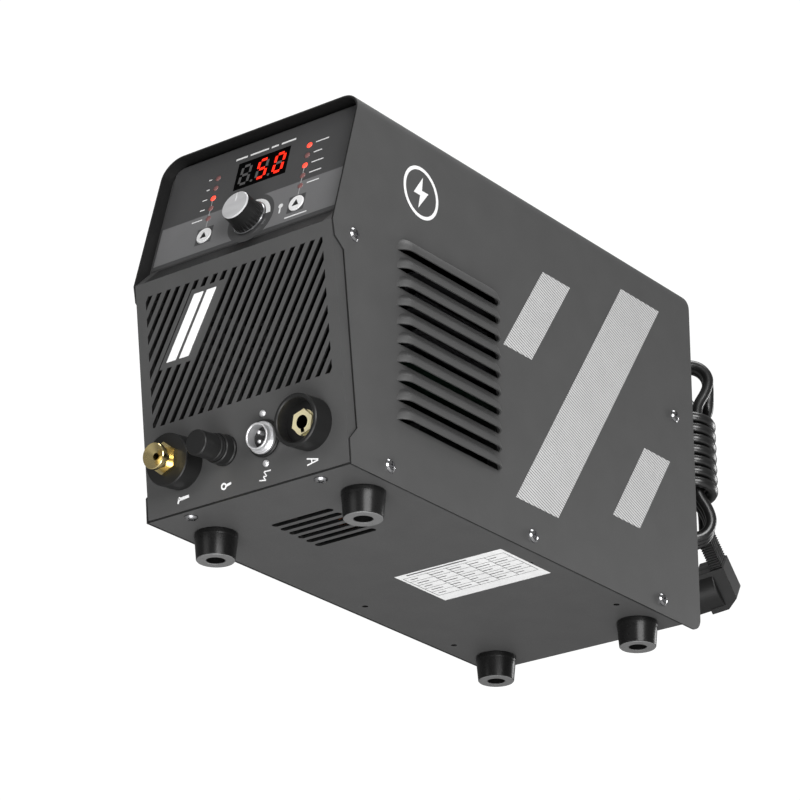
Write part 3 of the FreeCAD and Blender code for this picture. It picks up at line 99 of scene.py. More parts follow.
def finish(name, colour, rough, metal=0.0, vary=0.08, coarse=45.0, grain=1600.0, bump=0.12,
           depth=0.00005, rough_vary=0.08, stretch=(1.0, 1.0, 1.0), coat=0.0, glow=0.0, specular=0.5):
    """A procedural material: cloudy colour, grained roughness and a fine relief."""
    made = bpy.data.materials.new(name)
    made.use_nodes = True
    tree = made.node_tree
    shader = tree.nodes["Principled BSDF"]
    place = tree.nodes.new("ShaderNodeTexCoord")
    mapping = tree.nodes.new("ShaderNodeMapping")
    mapping.inputs["Scale"].default_value = stretch
    tree.links.new(place.outputs["Object"], mapping.inputs["Vector"])
    clouds = tree.nodes.new("ShaderNodeTexNoise")
    clouds.inputs["Scale"].default_value = coarse
    clouds.inputs["Detail"].default_value = 4.0
    fine = tree.nodes.new("ShaderNodeTexNoise")
    fine.inputs["Scale"].default_value = grain
    fine.inputs["Detail"].default_value = 2.0
    for texture in (clouds, fine):
        tree.links.new(mapping.outputs["Vector"], texture.inputs["Vector"])
    ramp = tree.nodes.new("ShaderNodeValToRGB")
    ramp.color_ramp.elements[0].position = 0.3
    ramp.color_ramp.elements[1].position = 0.7
    ramp.color_ramp.elements[0].color = (*[c * (1 - vary) for c in colour], 1)
    ramp.color_ramp.elements[1].color = (*[min(1, c * (1 + vary)) for c in colour], 1)
    tree.links.new(clouds.outputs["Fac"], ramp.inputs["Fac"])
    tree.links.new(ramp.outputs["Color"], shader.inputs["Base Color"])
    spread = tree.nodes.new("ShaderNodeMapRange")
    spread.inputs["To Min"].default_value = max(0.02, rough - rough_vary)
    spread.inputs["To Max"].default_value = min(1.0, rough + rough_vary)
    tree.links.new(fine.outputs["Fac"], spread.inputs["Value"])
    tree.links.new(spread.outputs["Result"], shader.inputs["Roughness"])
    relief = tree.nodes.new("ShaderNodeBump")
    relief.inputs["Strength"].default_value = bump
    relief.inputs["Distance"].default_value = depth
    tree.links.new(fine.outputs["Fac"], relief.inputs["Height"])
    tree.links.new(relief.outputs["Normal"], shader.inputs["Normal"])
    shader.inputs["Metallic"].default_value = metal
    shader.inputs["Coat Weight"].default_value = coat
    shader.inputs["Specular IOR Level"].default_value = specular
    if glow:
        shader.inputs["Emission Color"].default_value = (*colour, 1)
        shader.inputs["Emission Strength"].default_value = glow
    return made


def paint(name):
    return finish(name, (0.060, 0.060, 0.060), 0.52, grain=1300, bump=0.30, vary=0.05)


PAINT = paint("powder_coat")
FILM = finish("printed_film", (0.062, 0.062, 0.063), 0.36, grain=2600, bump=0.10, vary=0.04)
BLACK = finish("black_plastic", (0.009, 0.009, 0.009), 0.42, grain=1900, bump=0.18, vary=0.10, specular=0.30)
RUBBER = finish("foot_rubber", (0.006, 0.006, 0.006), 0.30, grain=900, bump=0.12, vary=0.15, specular=0.32)
CORD = finish("cord_jacket", (0.006, 0.006, 0.006), 0.32, grain=1500, bump=0.06, vary=0.12, specular=0.85)
BRASS = finish("brass", (0.98, 0.78, 0.38), 0.17, metal=1, grain=700, stretch=(1, 9, 1), vary=0.06)
CHROME = finish("chrome", (0.80, 0.80, 0.81), 0.36, metal=0.8, grain=900, bump=0.004, vary=0.03)
ZINC = finish("zinc_steel", (0.40, 0.40, 0.41), 0.22, metal=1, grain=700, bump=0.02, vary=0.08)
ALUMINIUM = finish("turned_aluminium", (0.66, 0.66, 0.67), 0.42, metal=0.35, grain=1400, stretch=(1, 14, 1))
WHITE = finish("white_enamel", (0.86, 0.86, 0.86), 0.42, grain=1800, bump=0.06, vary=0.02)
PRINT = finish("light_print", (0.80, 0.80, 0.80), 0.55, grain=2200, bump=0.05, vary=0.03)
DARK_PRINT = finish("dark_print", (0.016, 0.016, 0.016), 0.40, grain=2200, bump=0.06, vary=0.05)
STRIP_PRINT = finish("strip_print", (0.165, 0.165, 0.168), 0.40, grain=2400, bump=0.08, vary=0.04)
LINE_PRINT = finish("line_print", (0.42, 0.42, 0.42), 0.5, grain=2400, bump=0.05)
STRIPE_PRINT = finish("stripe_print", (0.54, 0.54, 0.54), 0.5, grain=2200, bump=0.05, vary=0.03)
WINDOW = finish("display_window", (0.001, 0.001, 0.001), 0.30, grain=1200, bump=0.02, specular=0.02)
GHOST = finish("display_ghost", (0.100, 0.098, 0.098), 0.40, grain=1500, bump=0.03)
LIT = finish("display_lit", (1.0, 0.018, 0.003), 0.45, glow=0.95, grain=1500, bump=0.02)
LED_DIM = finish("indicator_dim", (0.20, 0.085, 0.082), 0.30, grain=1500, bump=0.04, coat=0.4)
LED_LIT = finish("indicator_lit", (1.0, 0.07, 0.04), 0.35, glow=0.9, grain=1500, bump=0.02)
# The board's green is darkened to near-black: painted shade for the dark inside seen through the openings.
SHADED_BOARD = finish("circuit_board", (0.002, 0.009, 0.005), 0.42, grain=900, coarse=260, vary=0.35)
SINK = finish("heatsink_metal", (0.030, 0.030, 0.032), 0.45, metal=0.3, grain=900, stretch=(1, 6, 1))
FERRITE = finish("ferrite", (0.022, 0.022, 0.024), 0.68, grain=700, bump=0.5, vary=0.2)
COPPER = finish("copper_winding", (0.30, 0.10, 0.04), 0.42, metal=0.6, grain=800, stretch=(1, 1, 9))
SLEEVE = finish("capacitor_sleeve", (0.012, 0.016, 0.030), 0.34, grain=900, vary=0.2)
WIRE = finish("guard_wire", (0.55, 0.56, 0.58), 0.22, metal=1, grain=1200, vary=0.05)
VALVE = finish("valve_metal", (0.50, 0.49, 0.45), 0.32, metal=1, grain=800)
PLUG = finish("plug_moulding", (0.003, 0.003, 0.003), 0.26, grain=1500, bump=0.06, vary=0.12, specular=0.12)
HOSE = finish("hose_tube", (0.015, 0.09, 0.28), 0.30, grain=1400, vary=0.1)

BY_SLOT = {
    "case_paint": PAINT, "overlay_film": FILM, "display_window": WINDOW, "indicator_lens": LED_DIM,
    "white_enamel": WHITE, "button_white": WHITE, "black_plastic": BLACK, "turned_aluminium": ALUMINIUM,
    "brass": BRASS, "chrome": CHROME, "zinc_steel": ZINC, "foot_rubber": RUBBER, "guard_wire": WIRE,
    "cord_jacket": CORD, "plug_moulding": PLUG, "circuit_board": SHADED_BOARD, "heatsink_metal": SINK,
    "ferrite": FERRITE, "copper_winding": COPPER, "capacitor_sleeve": SLEEVE, "valve_metal": VALVE,
    "hose_tube": HOSE,
}
for part in frame["record"]["subparts"]:
    owner = frame["nodes"][part["node"]]
    owner.data.materials.clear()
    owner.data.materials.append(BY_SLOT[part["material_slot"]])


def repaint(node, material):
    frame["nodes"][node].data.materials[0] = material


def math_node(tree, operation, first, second=None):
    made = tree.nodes.new("ShaderNodeMath")
    made.operation = operation
    for at, value in enumerate((first, second)):
        if isinstance(value, (int, float)):
            made.inputs[at].default_value = value
        elif value is not None:
            tree.links.new(value, made.inputs[at])
    return made.outputs[0]


def recolour(material, mask_of, colour):
    """Another colour where mask_of(tree, x, y, z) is 1, by place on the object."""
    tree = material.node_tree
    shader = tree.nodes["Principled BSDF"]
    before = shader.inputs["Base Color"].links[0].from_socket
    place = tree.nodes.new("ShaderNodeTexCoord")
    split = tree.nodes.new("ShaderNodeSeparateXYZ")
    tree.links.new(place.outputs["Object"], split.inputs[0])
    # The colours of a mix node are its inputs 6 and 7 and its output 2.
    mix = tree.nodes.new("ShaderNodeMix")
    mix.data_type = "RGBA"
    tree.links.new(mask_of(tree, *split.outputs), mix.inputs[0])
    tree.links.new(before, mix.inputs[6])
    mix.inputs[7].default_value = (*colour, 1)
    tree.links.new(mix.outputs[2], shader.inputs["Base Color"])


COVER_BEND, SKIN = 15.8 * MM, 0.5 * MM
COVER_TOP_Z, COVER_HALF = BASE_Z + 267.6 * MM, 85.25 * MM


def shade_inside_cover(tree, x, y, z):
    """1 deeper than a skin under the cover's outside, rounded bends included: there the cover's inside is
    painted near-black as shade.
    """
    across = math_node(tree, "SUBTRACT", math_node(tree, "ABSOLUTE", x), COVER_HALF - COVER_BEND)
    upward = math_node(tree, "SUBTRACT", z, COVER_TOP_Z - COVER_BEND)
    across, upward = (math_node(tree, "MAXIMUM", v, 0.0) for v in (across, upward))
    squares = math_node(tree, "ADD", math_node(tree, "MULTIPLY", across, across),
                        math_node(tree, "MULTIPLY", upward, upward))
    return math_node(tree, "LESS_THAN", math_node(tree, "SQRT", squares), COVER_BEND - SKIN)


BASE_SKIN, SOLE_TALL = 0.15 * MM, 0.4 * MM


def shade_over_base(tree, x, y, z):
    """1 above the underside of the base: slot walls and the inside, painted near-black as shade."""
    return math_node(tree, "GREATER_THAN", z, BASE_Z + BASE_SKIN)


def foot_sole(tree, x, y, z):
    """1 on the flat undersides of the feet."""
    return math_node(tree, "LESS_THAN", z, SOLE_TALL)


def lower_turned(tree, y, z, along_y, along_z):
    """A direction of the lower front, from its crease, as a sum of Y and Z."""
    return math_node(tree, "ADD",
                     math_node(tree, "MULTIPLY", math_node(tree, "SUBTRACT", y, FRONT_LINE), along_y),
                     math_node(tree, "MULTIPLY", math_node(tree, "SUBTRACT", z, CREASE_Z), along_z))


def lower_depth(tree, y, z):
    return lower_turned(tree, y, z, math.cos(LOWER_LEAN), math.sin(LOWER_LEAN))


FIELD_HALF, FIELD_LOW, FIELD_HIGH = 76.0 * MM, BASE_Z + 8.0 * MM, CREASE_Z + 14.0 * MM
FRONT_SKIN = 0.06 * MM


def shade_behind_front(tree, x, y, z):
    """1 deeper than the outer face of the lower front, between its bends: slot walls and the inside, painted
    near-black as shade.
    """
    deep = math_node(tree, "GREATER_THAN", lower_depth(tree, y, z), FRONT_SKIN)
    flat = math_node(tree, "LESS_THAN", math_node(tree, "ABSOLUTE", x), FIELD_HALF)
    low = math_node(tree, "GREATER_THAN", z, FIELD_LOW)
    high = math_node(tree, "LESS_THAN", z, FIELD_HIGH)
    return math_node(tree, "MULTIPLY", math_node(tree, "MULTIPLY", deep, flat),
                     math_node(tree, "MULTIPLY", low, high))


WORK_X, WORK_DOWN, BORE_REACH, BORE_MOUTH = 54.9 * MM, 131.0 * MM, 7.2 * MM, -8.5 * MM


def shade_in_work_bore(tree, x, y, z):
    """1 on the walls of the keyed bore of the work lead socket, painted near-black as shade."""
    across = math_node(tree, "SUBTRACT", x, WORK_X)
    up_front = lower_turned(tree, y, z, -math.sin(LOWER_LEAN), math.cos(LOWER_LEAN))
    upward = math_node(tree, "ADD", up_front, WORK_DOWN)
    reach = math_node(tree, "SQRT", math_node(tree, "ADD", math_node(tree, "MULTIPLY", across, across),
                                              math_node(tree, "MULTIPLY", upward, upward)))
    return math_node(tree, "MULTIPLY", math_node(tree, "LESS_THAN", reach, BORE_REACH),
                     math_node(tree, "GREATER_THAN", lower_depth(tree, y, z), BORE_MOUTH))


HATCH_PITCH, HATCH_LIGHT, HATCH_RISE, HATCH_RUN = 0.0022, 0.36, 0.94, 0.35


def hatched(tree, x, y, z):
    """1 on fine leaning rules, light between them."""
    along = math_node(tree, "ADD", math_node(tree, "MULTIPLY", y, HATCH_RUN),
                      math_node(tree, "MULTIPLY", z, HATCH_RISE))
    wrapped = math_node(tree, "PINGPONG", along, HATCH_PITCH / 2)
    return math_node(tree, "GREATER_THAN", wrapped, HATCH_PITCH * HATCH_LIGHT)


# Three copies of the case paint; below, each gets near-black painted shade on its inside.
COVER_PAINT_SHADE_INSIDE, BASE_PAINT_SHADE_INSIDE, FRONT_PAINT_SHADE_INSIDE = (paint(f"{place}_powder_coat") for place in ("cover", "base", "front"))
BRASS_SHADE_IN_BORE = finish("keyed_brass", (1.0, 0.88, 0.56), 0.42, metal=0.75, grain=700, stretch=(1, 9, 1),
                    vary=0.06)
# The first four colours are painted shade: near-black inside the cover, the base, the lower front and the
# work socket bore.
for material, mask, grey in ((COVER_PAINT_SHADE_INSIDE, shade_inside_cover, 0.004), (BASE_PAINT_SHADE_INSIDE, shade_over_base, 0.003),
                             (FRONT_PAINT_SHADE_INSIDE, shade_behind_front, 0.004), (BRASS_SHADE_IN_BORE, shade_in_work_bore, 0.002),
                             (RUBBER, foot_sole, 0.15), (STRIPE_PRINT, hatched, 0.10)):
    recolour(material, mask, (grey, grey, grey))
repaint("cover", COVER_PAINT_SHADE_INSIDE)
repaint("base_plate", BASE_PAINT_SHADE_INSIDE)
repaint("front_panel", FRONT_PAINT_SHADE_INSIDE)
repaint("work_socket_insert", BRASS_SHADE_IN_BORE)
repaint("pilot_terminal_washer",
        finish("dark_washer", (0.020, 0.020, 0.020), 0.48, metal=0.2, grain=900, vary=0.1))
repaint("knob_ring", ZINC)

# ------------------------------------------------------------ mesh building


def circle(centre, radius, steps=48):
    turn = [math.tau * i / steps for i in range(steps)]
    return [(centre[0] + radius * math.cos(a), centre[1] + radius * math.sin(a)) for a in turn]


def rectangle(left, bottom, right, top):
    return [(left, bottom), (right, bottom), (right, top), (left, top)]


class Shape:
    """Collects simple solids and makes one mesh object of them."""

    def __init__(self):
        self.verts, self.faces = [], []

    def prism(self, outline, matrix, low, high):
        start, count = len(self.verts), len(outline)
        for z in (low, high):
            self.verts += [matrix @ (Vector((x, y, z)) * MM) for x, y in outline]
        self.faces.append([start + i for i in reversed(range(count))])
        self.faces.append([start + count + i for i in range(count)])
        for i in range(count):
            j = (i + 1) % count
            self.faces.append([start + i, start + j, start + count + j, start + count + i])
        return self

    def plate(self, outlines, matrix, low, high):
        """A flat plate: the first outline is its edge, the others are holes through it."""
        start, count = len(self.verts), sum(len(loop) for loop in outlines)
        for z in (low, high):
            self.verts += [matrix @ (Vector((x, y, z)) * MM) for loop in outlines for x, y in loop]
        for corners in tessellate_polygon([[Vector((x, y, 0)) for x, y in loop] for loop in outlines]):
            self.faces.append([start + i for i in corners])
            self.faces.append([start + count + i for i in corners])
        for loop in outlines:
            for i in range(len(loop)):
                j = (i + 1) % len(loop)
                self.faces.append([start + i, start + j, start + count + j, start + count + i])
            start += len(loop)
        return self

    def bar(self, a, b, width, matrix, low, high):
        along = Vector((b[0] - a[0], b[1] - a[1])).normalized() * (width / 2)
        across = (-along.y, along.x)
        corners = [(a[0] + across[0], a[1] + across[1]), (a[0] - across[0], a[1] - across[1]),
                   (b[0] - across[0], b[1] - across[1]), (b[0] + across[0], b[1] + across[1])]
        return self.prism(corners, matrix, low, high)

    def disc(self, centre, radius, matrix, low, high, steps=48):
        return self.prism(circle(centre, radius, steps), matrix, low, high)

    def arc(self, centre, radii, angles, matrix, low, high, steps=48):
        """A band between two radii; radii holds (inner, outer) at the start and at the end."""
        (in_a, out_a), (in_b, out_b) = radii
        edge = []
        for i in range(steps + 1):
            t = i / steps
            a = math.radians(angles[0] + (angles[1] - angles[0]) * t)
            edge.append((a, in_a + (in_b - in_a) * t, out_a + (out_b - out_a) * t))
        for (a, low_a, high_a), (b, low_b, high_b) in zip(edge, edge[1:]):
            quad = [(low_a, a), (high_a, a), (high_b, b), (low_b, b)]
            self.prism([(centre[0] + r * math.cos(w), centre[1] + r * math.sin(w)) for r, w in quad],
                       matrix, low, high)
        return self

    def lathe(self, profile, matrix, steps=64):
        start, count = len(self.verts), len(profile)
        for i in range(steps):
            a = math.tau * i / steps
            self.verts += [matrix @ (Vector((r * math.cos(a), r * math.sin(a), z)) * MM)
                           for r, z in profile]
        for i in range(steps):
            j = (i + 1) % steps
            for k in range(count - 1):
                self.faces.append([start + i * count + k, start + j * count + k,
                                   start + j * count + k + 1, start + i * count + k + 1])
        return self

    def build(self, name, material, body="case", slot=None, bevel=0.0, smooth=False):
        mesh = bpy.data.meshes.new(name)
        mesh.from_pydata(self.verts, [], self.faces)
        work = bmesh.new()
        work.from_mesh(mesh)
        bmesh.ops.remove_doubles(work, verts=work.verts, dist=1e-7)
        bmesh.ops.recalc_face_normals(work, faces=work.faces)
        work.to_mesh(mesh)
        work.free()
        mesh.materials.append(material)
        made = bpy.data.objects.new(name, mesh)
        scene.collection.objects.link(made)
        if smooth:
            mesh.polygons.foreach_set("use_smooth", [True] * len(mesh.polygons))
        if bevel:
            soften = made.modifiers.new("soften", "BEVEL")
            soften.width = bevel * MM
            soften.segments = 3
            soften.limit_method = "ANGLE"
        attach(made, body)
        return made


# -------------------------------------------------------------- mains cord

HANK_X, HANK_BEHIND = 51.57, 469.9
HANK_TURN = math.radians(37.55)
ALONG = (math.cos(HANK_TURN), math.sin(HANK_TURN))
AWAY = (-math.sin(HANK_TURN), math.cos(HANK_TURN))
CORD_DIAMETER = 8.0 * MM
# The curve runs inside its control points, so loops are drawn larger by CONTROL_GAIN.
CONTROL_GAIN, LOWER_SHIFT = 1.03, 1.8
FOLD_RADIUS, STRAND_P = 13.9, 4.0
TOP_CENTRE, BOTTOM_CENTRE = 218.0, 105.9
WRAP_TOP, WRAP_PITCH, WRAP_LAST = 184.0, 8.57, 2586
WRAP_P, WRAP_Q = 14.7 * CONTROL_GAIN, 18.2 * CONTROL_GAIN
TUCK_Z, TUCK_DROP = 192.5, 8.5


def in_hank(p, q, z):
    """A point of the fit frame from p across the hank, q through it and its height."""
    return (HANK_X + ALONG[0] * p + AWAY[0] * q, HANK_BEHIND + ALONG[1] * p + AWAY[1] * q, z)


def fold(side, q_from, q_to, centre, sign, leave=True):
    """The cord widens out of its strand, turns over a round loop and narrows again.

    sign is 1 at the top of the hank and -1 at its bottom; without leave it stops after the loop.
    """
    neck = [(STRAND_P, 27.0), (5.5, 19.0), (11.3, 10.0)]
    points = [(side * p, -sign * z) for p, z in neck]
    points += [(side * FOLD_RADIUS * CONTROL_GAIN * math.cos(math.radians(a)),
                sign * FOLD_RADIUS * CONTROL_GAIN * math.sin(math.radians(a))) for a in range(0, 181, 30)]
    if leave:
        points += [(-side * p, -sign * z) for p, z in reversed(neck)]
    if sign < 0:
        points = [(p - LOWER_SHIFT, z) for p, z in points]
    last = len(points) - 1
    return [in_hank(p, q_from + (q_to - q_from) * i / last, centre + z) for i, (p, z) in enumerate(points)]


def strand(side, q, heights):
    return [in_hank(STRAND_P * side, q, z) for z in heights]


def round_hank(turned, z):
    """A point of the wrap, turned degrees round the hank."""
    a = math.radians(turned)
    return in_hank(WRAP_P * math.cos(a), WRAP_Q * math.sin(a), z)


LEAD = [(-15.0, 426.1, 225.0), (-15.0, 446.0, 225.0), (-8.4, 464.8, 227.0), (4.6, 479.5, 227.0),
        (21.8, 487.0, 222.5), (38.6, 486.6, 213.5), (49.2, 481.0, 200.0)]
DOWN, UP = (176.0, 150.0), (150.0, 176.0)
LAYERS = ((8, 0, True), (0, -8, True), (-8, -2, False))
route = list(LEAD)
for layer, next_layer, leave in LAYERS:
    route += strand(1, layer, DOWN) + fold(1, layer, layer, BOTTOM_CENTRE, -1) + strand(-1, layer, UP)
    route += fold(-1, layer, next_layer, TOP_CENTRE, 1, leave=leave)
route += [in_hank(14.4, 2.0, 203.0), in_hank(14.0, 7.0, 197.5), in_hank(10.4, 13.0, 194.5),
          in_hank(0.0, 18.4, TUCK_Z)]
route += [round_hank(a, TUCK_Z - (a - 90) / 180 * TUCK_DROP) for a in range(120, 270, 30)]
route += [round_hank(a, WRAP_TOP - (a - 270) / 360 * WRAP_PITCH) for a in range(270, WRAP_LAST, 30)]
PLUG_AT = spot(48.0, 489.3, 102.2)
PLUG_DOWN = Vector((-0.026, 0.715, -0.695)).normalized()
route += [in_hank(8.8, 17.4, 117.0), in_hank(8.8, 17.4, 107.5)]
route_points = [spot(*p) for p in route] + [PLUG_AT, PLUG_AT + PLUG_DOWN * 8 * MM]

curve = bpy.data.curves.new("mains_cord", "CURVE")
curve.dimensions = "3D"
curve.bevel_depth = CORD_DIAMETER / 2
curve.bevel_resolution = 5
curve.resolution_u = 5
curve.use_fill_caps = True
spline = curve.splines.new("NURBS")
spline.points.add(len(route_points) - 1)
for control, point in zip(spline.points, route_points):
    control.co = (*point, 1.0)
spline.order_u = 3
spline.use_endpoint_u = True
curve.materials.append(CORD)
mains_cord = bpy.data.objects.new("mains_cord", curve)
scene.collection.objects.link(mains_cord)
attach(mains_cord, "case")
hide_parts("cord_lead", "cord_hank")

# The plug: x across the flat relief, y towards the pins, z away from the cord.
PLUG_FACE = Vector((-0.967, -0.208, -0.125))
PLUG_FACE = (PLUG_FACE - PLUG_DOWN * PLUG_FACE.dot(PLUG_DOWN)).normalized()
PLUG_SIDE = PLUG_FACE.cross(PLUG_DOWN)
plug_frame = Matrix.Translation(PLUG_AT) @ Matrix((PLUG_SIDE, PLUG_FACE, PLUG_DOWN)).transposed().to_4x4()
plug_side_on = plug_frame @ Matrix(((0, 0, 1, 0), (1, 0, 0, 0), (0, 1, 0, 0), (0, 0, 0, 1)))
plug_head_on = plug_frame @ Matrix(((1, 0, 0, 0), (0, 0, 1, 0), (0, 1, 0, 0), (0, 0, 0, 1)))
PLUG_MIDDLE, BLOCK_HALF = 39.6, 11.3
RIBS, RIB_PITCH, RIB_TALL = 12, 1.95, 1.15
plug = Shape()
plug.prism(rectangle(-8.9, -4.9, 8.9, 2.9), plug_frame, 0.2, 24.0)
for i in range(RIBS):
    low = 0.4 + i * RIB_PITCH
    plug.prism(rectangle(-9.9, -5.9, 9.9, 3.9), plug_frame, low, low + RIB_TALL)
plug.prism([(-6.5, 23.1), (15.9, 23.1), (15.9, 56.5), (2.5, 56.5), (-6.5, 50.0)], plug_side_on,
           -BLOCK_HALF, BLOCK_HALF)
plug.lathe([(0, 3.2), (16.6, 3.2), (17.0, 4.0), (17.0, 34.6), (16.0, 35.8), (0, 35.8)],
           plug_head_on @ Matrix.Translation(Vector((0, PLUG_MIDDLE, 0)) * MM))
plug_piece = plug.build("plug_moulded", BLACK, slot="plug_moulding", bevel=0.5)
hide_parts("plug_body")

# ----------------------------------------------------------- control panel

FILM_TOP, PRINT_THICK = 0.50, 0.06
KNOB_UP = 32.9
BUTTON_X, BUTTON_UP, BUTTON_HOLE, SQUARE_HALF = 39.6, 32.2, 6.5, 6.9
LED_UPS = [47.0 + 8.75 * i for i in range(5)]
STRIP_HALF, STRIP_LOW, STRIP_HIGH = 80.9, 18.7, 51.0


def printed(name, material, shape, body="case", slot="overlay_film"):
    return shape.build(name, material, body=body, slot=slot)


# The prints lie over one another; the pressed buttons sink through round holes.
button_holes = [circle((BUTTON_X * side, BUTTON_UP), BUTTON_HOLE) for side in (-1, 1)]
low, high = FILM_TOP, FILM_TOP + PRINT_THICK
strip = Shape().plate([rectangle(-STRIP_HALF, STRIP_LOW, STRIP_HALF, STRIP_HIGH), *button_holes],
                      PANEL, low, high)
printed("panel_strip", STRIP_PRINT, strip)
low, high = high, high + PRINT_THICK
patches = Shape().disc((0.9, 33.0), 19.5, PANEL, low, high, 96)
for side, hole in zip((-1, 1), button_holes):
    x = BUTTON_X * side
    square = rectangle(x - SQUARE_HALF, BUTTON_UP - SQUARE_HALF, x + SQUARE_HALF, BUTTON_UP + SQUARE_HALF)
    patches.plate([square, hole], PANEL, low, high)
printed("panel_patches", FILM, patches)
low, high = high, high + PRINT_THICK
lines = Shape()
for side in (-1, 1):
    x = BUTTON_X * side
    lines.bar((x, BUTTON_UP + SQUARE_HALF), (x, LED_UPS[2]), 0.55, PANEL, low, high)
printed("panel_lines", LINE_PRINT, lines)
scale = Shape().arc((0.0, KNOB_UP), [(13.6, 14.3), (13.6, 17.4)], (150, 0), PANEL, low, high, 60)
printed("knob_scale", PRINT, scale)

# Plain bars stand where the panel has lettering.
captions = Shape()
for side, lengths in ((-1, (2.5, 2.5, 4.0, 4.0, 9.0)), (1, (11.0, 7.0, 10.0, 10.0, 10.0))):
    start = (BUTTON_X + 5.5) * side
    for up, reach in zip(LED_UPS, reversed(lengths)):
        captions.bar((start, up + 0.6), (start + reach * side, up + 0.6), 0.9, PANEL, low, high)
captions.bar((32.0, 21.9), (50.5, 21.9), 1.1, PANEL, low, high)
for start, reach in ((-26.0, 10.0), (-13.5, 16.0), (5.0, 6.0), (13.5, 12.5)):
    captions.bar((start, 92.6), (start + reach, 92.6), 1.5, PANEL, low, high)
printed("panel_captions", PRINT, captions)
hint = Shape().disc((26.0, 34.6), 1.9, PANEL, low, high, 24)
hint.bar((26.0, 28.4), (26.0, 33.4), 1.3, PANEL, low, high)
printed("press_hint", PRINT, hint)

lit = {(-1, 2), (1, 4), (1, 2)}
for wanted, name, material in ((True, "indicators_lit", LED_LIT), (False, "indicators_dim", LED_DIM)):
    lenses = Shape()
    for side in (-1, 1):
        for i, up in enumerate(LED_UPS):
            if ((side, i) in lit) == wanted:
                lenses.lathe([(0, 1.25), (1.0, 1.1), (1.8, 0.85), (2.3, 0.52), (2.3, 0.45), (0, 0.45)],
                             PANEL @ Matrix.Translation(Vector((BUTTON_X * side, up, 0)) * MM), 32)
    lenses.build(name, material, slot="indicator_lens", smooth=True)

for side, body in ((-1, "left_button"), (1, "right_button")):
    x, arrow = BUTTON_X * side, Shape()
    arrow.prism([(x - 2.7, BUTTON_UP - 2.2), (x + 2.7, BUTTON_UP - 2.2), (x, BUTTON_UP + 2.9)],
                PANEL, 1.28, 1.36)
    printed(f"button_arrow_{body}", DARK_PRINT, arrow, body=body, slot="button_white")

# Three seven-segment digits; which segments are lit: a b c d e f g.
DISPLAY_UP, DIGIT_HALF, DIGIT_TALL, DIGIT_LEAN = 76.4, 3.6, 7.7, 0.07
SEGMENT_WIDE, SEGMENT_LOW, SEGMENT_HIGH = 2.15, 0.31, 0.39
SEGMENTS = {"a": ((-1, 1), (1, 1)), "b": ((1, 1), (1, 0)), "c": ((1, 0), (1, -1)), "d": ((1, -1), (-1, -1)),
            "e": ((-1, -1), (-1, 0)), "f": ((-1, 0), (-1, 1)), "g": ((-1, 0), (1, 0))}
SHOWN = ((-14.7, ""), (0.0, "acdfg"), (14.7, "abcdef"))
glowing, faint = Shape(), Shape()
for x, shown in SHOWN:
    for name, (a, b) in SEGMENTS.items():
        ends = []
        for (u, v), (s, t) in ((a, b), (b, a)):
            px, py = u * DIGIT_HALF + (s - u) * 0.62, v * DIGIT_TALL + (t - v) * 1.05
            ends.append((x + px + py * DIGIT_LEAN, DISPLAY_UP + py))
        (glowing if name in shown else faint).bar(*ends, SEGMENT_WIDE, PANEL, SEGMENT_LOW, SEGMENT_HIGH)
    if x < SHOWN[-1][0]:
        faint.disc((x + 6.9, DISPLAY_UP - DIGIT_TALL), 1.05, PANEL, SEGMENT_LOW, SEGMENT_HIGH, 20)
glowing.build("digits_lit", LIT, slot="display_window")
faint.build("digits_faint", GHOST, slot="display_window")

KNOB = PANEL @ Matrix.Translation(Vector((0, KNOB_UP, 0)) * MM)
pointer = Shape().bar((0, 3.0), (0, 9.6), 0.7, KNOB, 16.93, 17.0)
printed("knob_pointer", PRINT, pointer, body="knob", slot="turned_aluminium")

# --------------------------------------------------------- lower front print

icons = Shape()
ICON_UP, ICON_TOP = -154.5, 0.07
icons.bar((-56.5, ICON_UP), (-48.0, ICON_UP + 0.6), 2.0, FRONT, 0, ICON_TOP)
icons.bar((-57.6, ICON_UP - 2.6), (-55.8, ICON_UP + 1.6), 1.4, FRONT, 0, ICON_TOP)
icons.arc((-18.6, ICON_UP), [(1.2, 2.4), (1.2, 2.4)], (0, 360), FRONT, 0, ICON_TOP, 32)
icons.bar((-16.4, ICON_UP + 0.1), (-12.4, ICON_UP + 0.9), 1.6, FRONT, 0, ICON_TOP)
FLASH = ((20.6, 1.6), (14.9, 1.8), (17.0, -1.4), (14.2, -1.3), (16.0, -4.1), (10.7, -3.1))
for start, end in zip(FLASH, FLASH[1:]):
    icons.bar((start[0], ICON_UP + start[1]), (end[0], ICON_UP + end[1]), 0.8, FRONT, 0, ICON_TOP)
icons.bar((50.0, ICON_UP + 1.9), (59.0, ICON_UP - 0.3), 0.9, FRONT, 0, ICON_TOP)
icons.bar((50.0, ICON_UP - 2.4), (59.0, ICON_UP - 0.9), 0.9, FRONT, 0, ICON_TOP)
icons.bar((53.8, ICON_UP + 0.8), (53.8, ICON_UP - 1.6), 0.9, FRONT, 0, ICON_TOP)
icons.build("socket_pictograms", PRINT, slot="white_enamel")

# ---------------------------------------------------- side graphic and ring

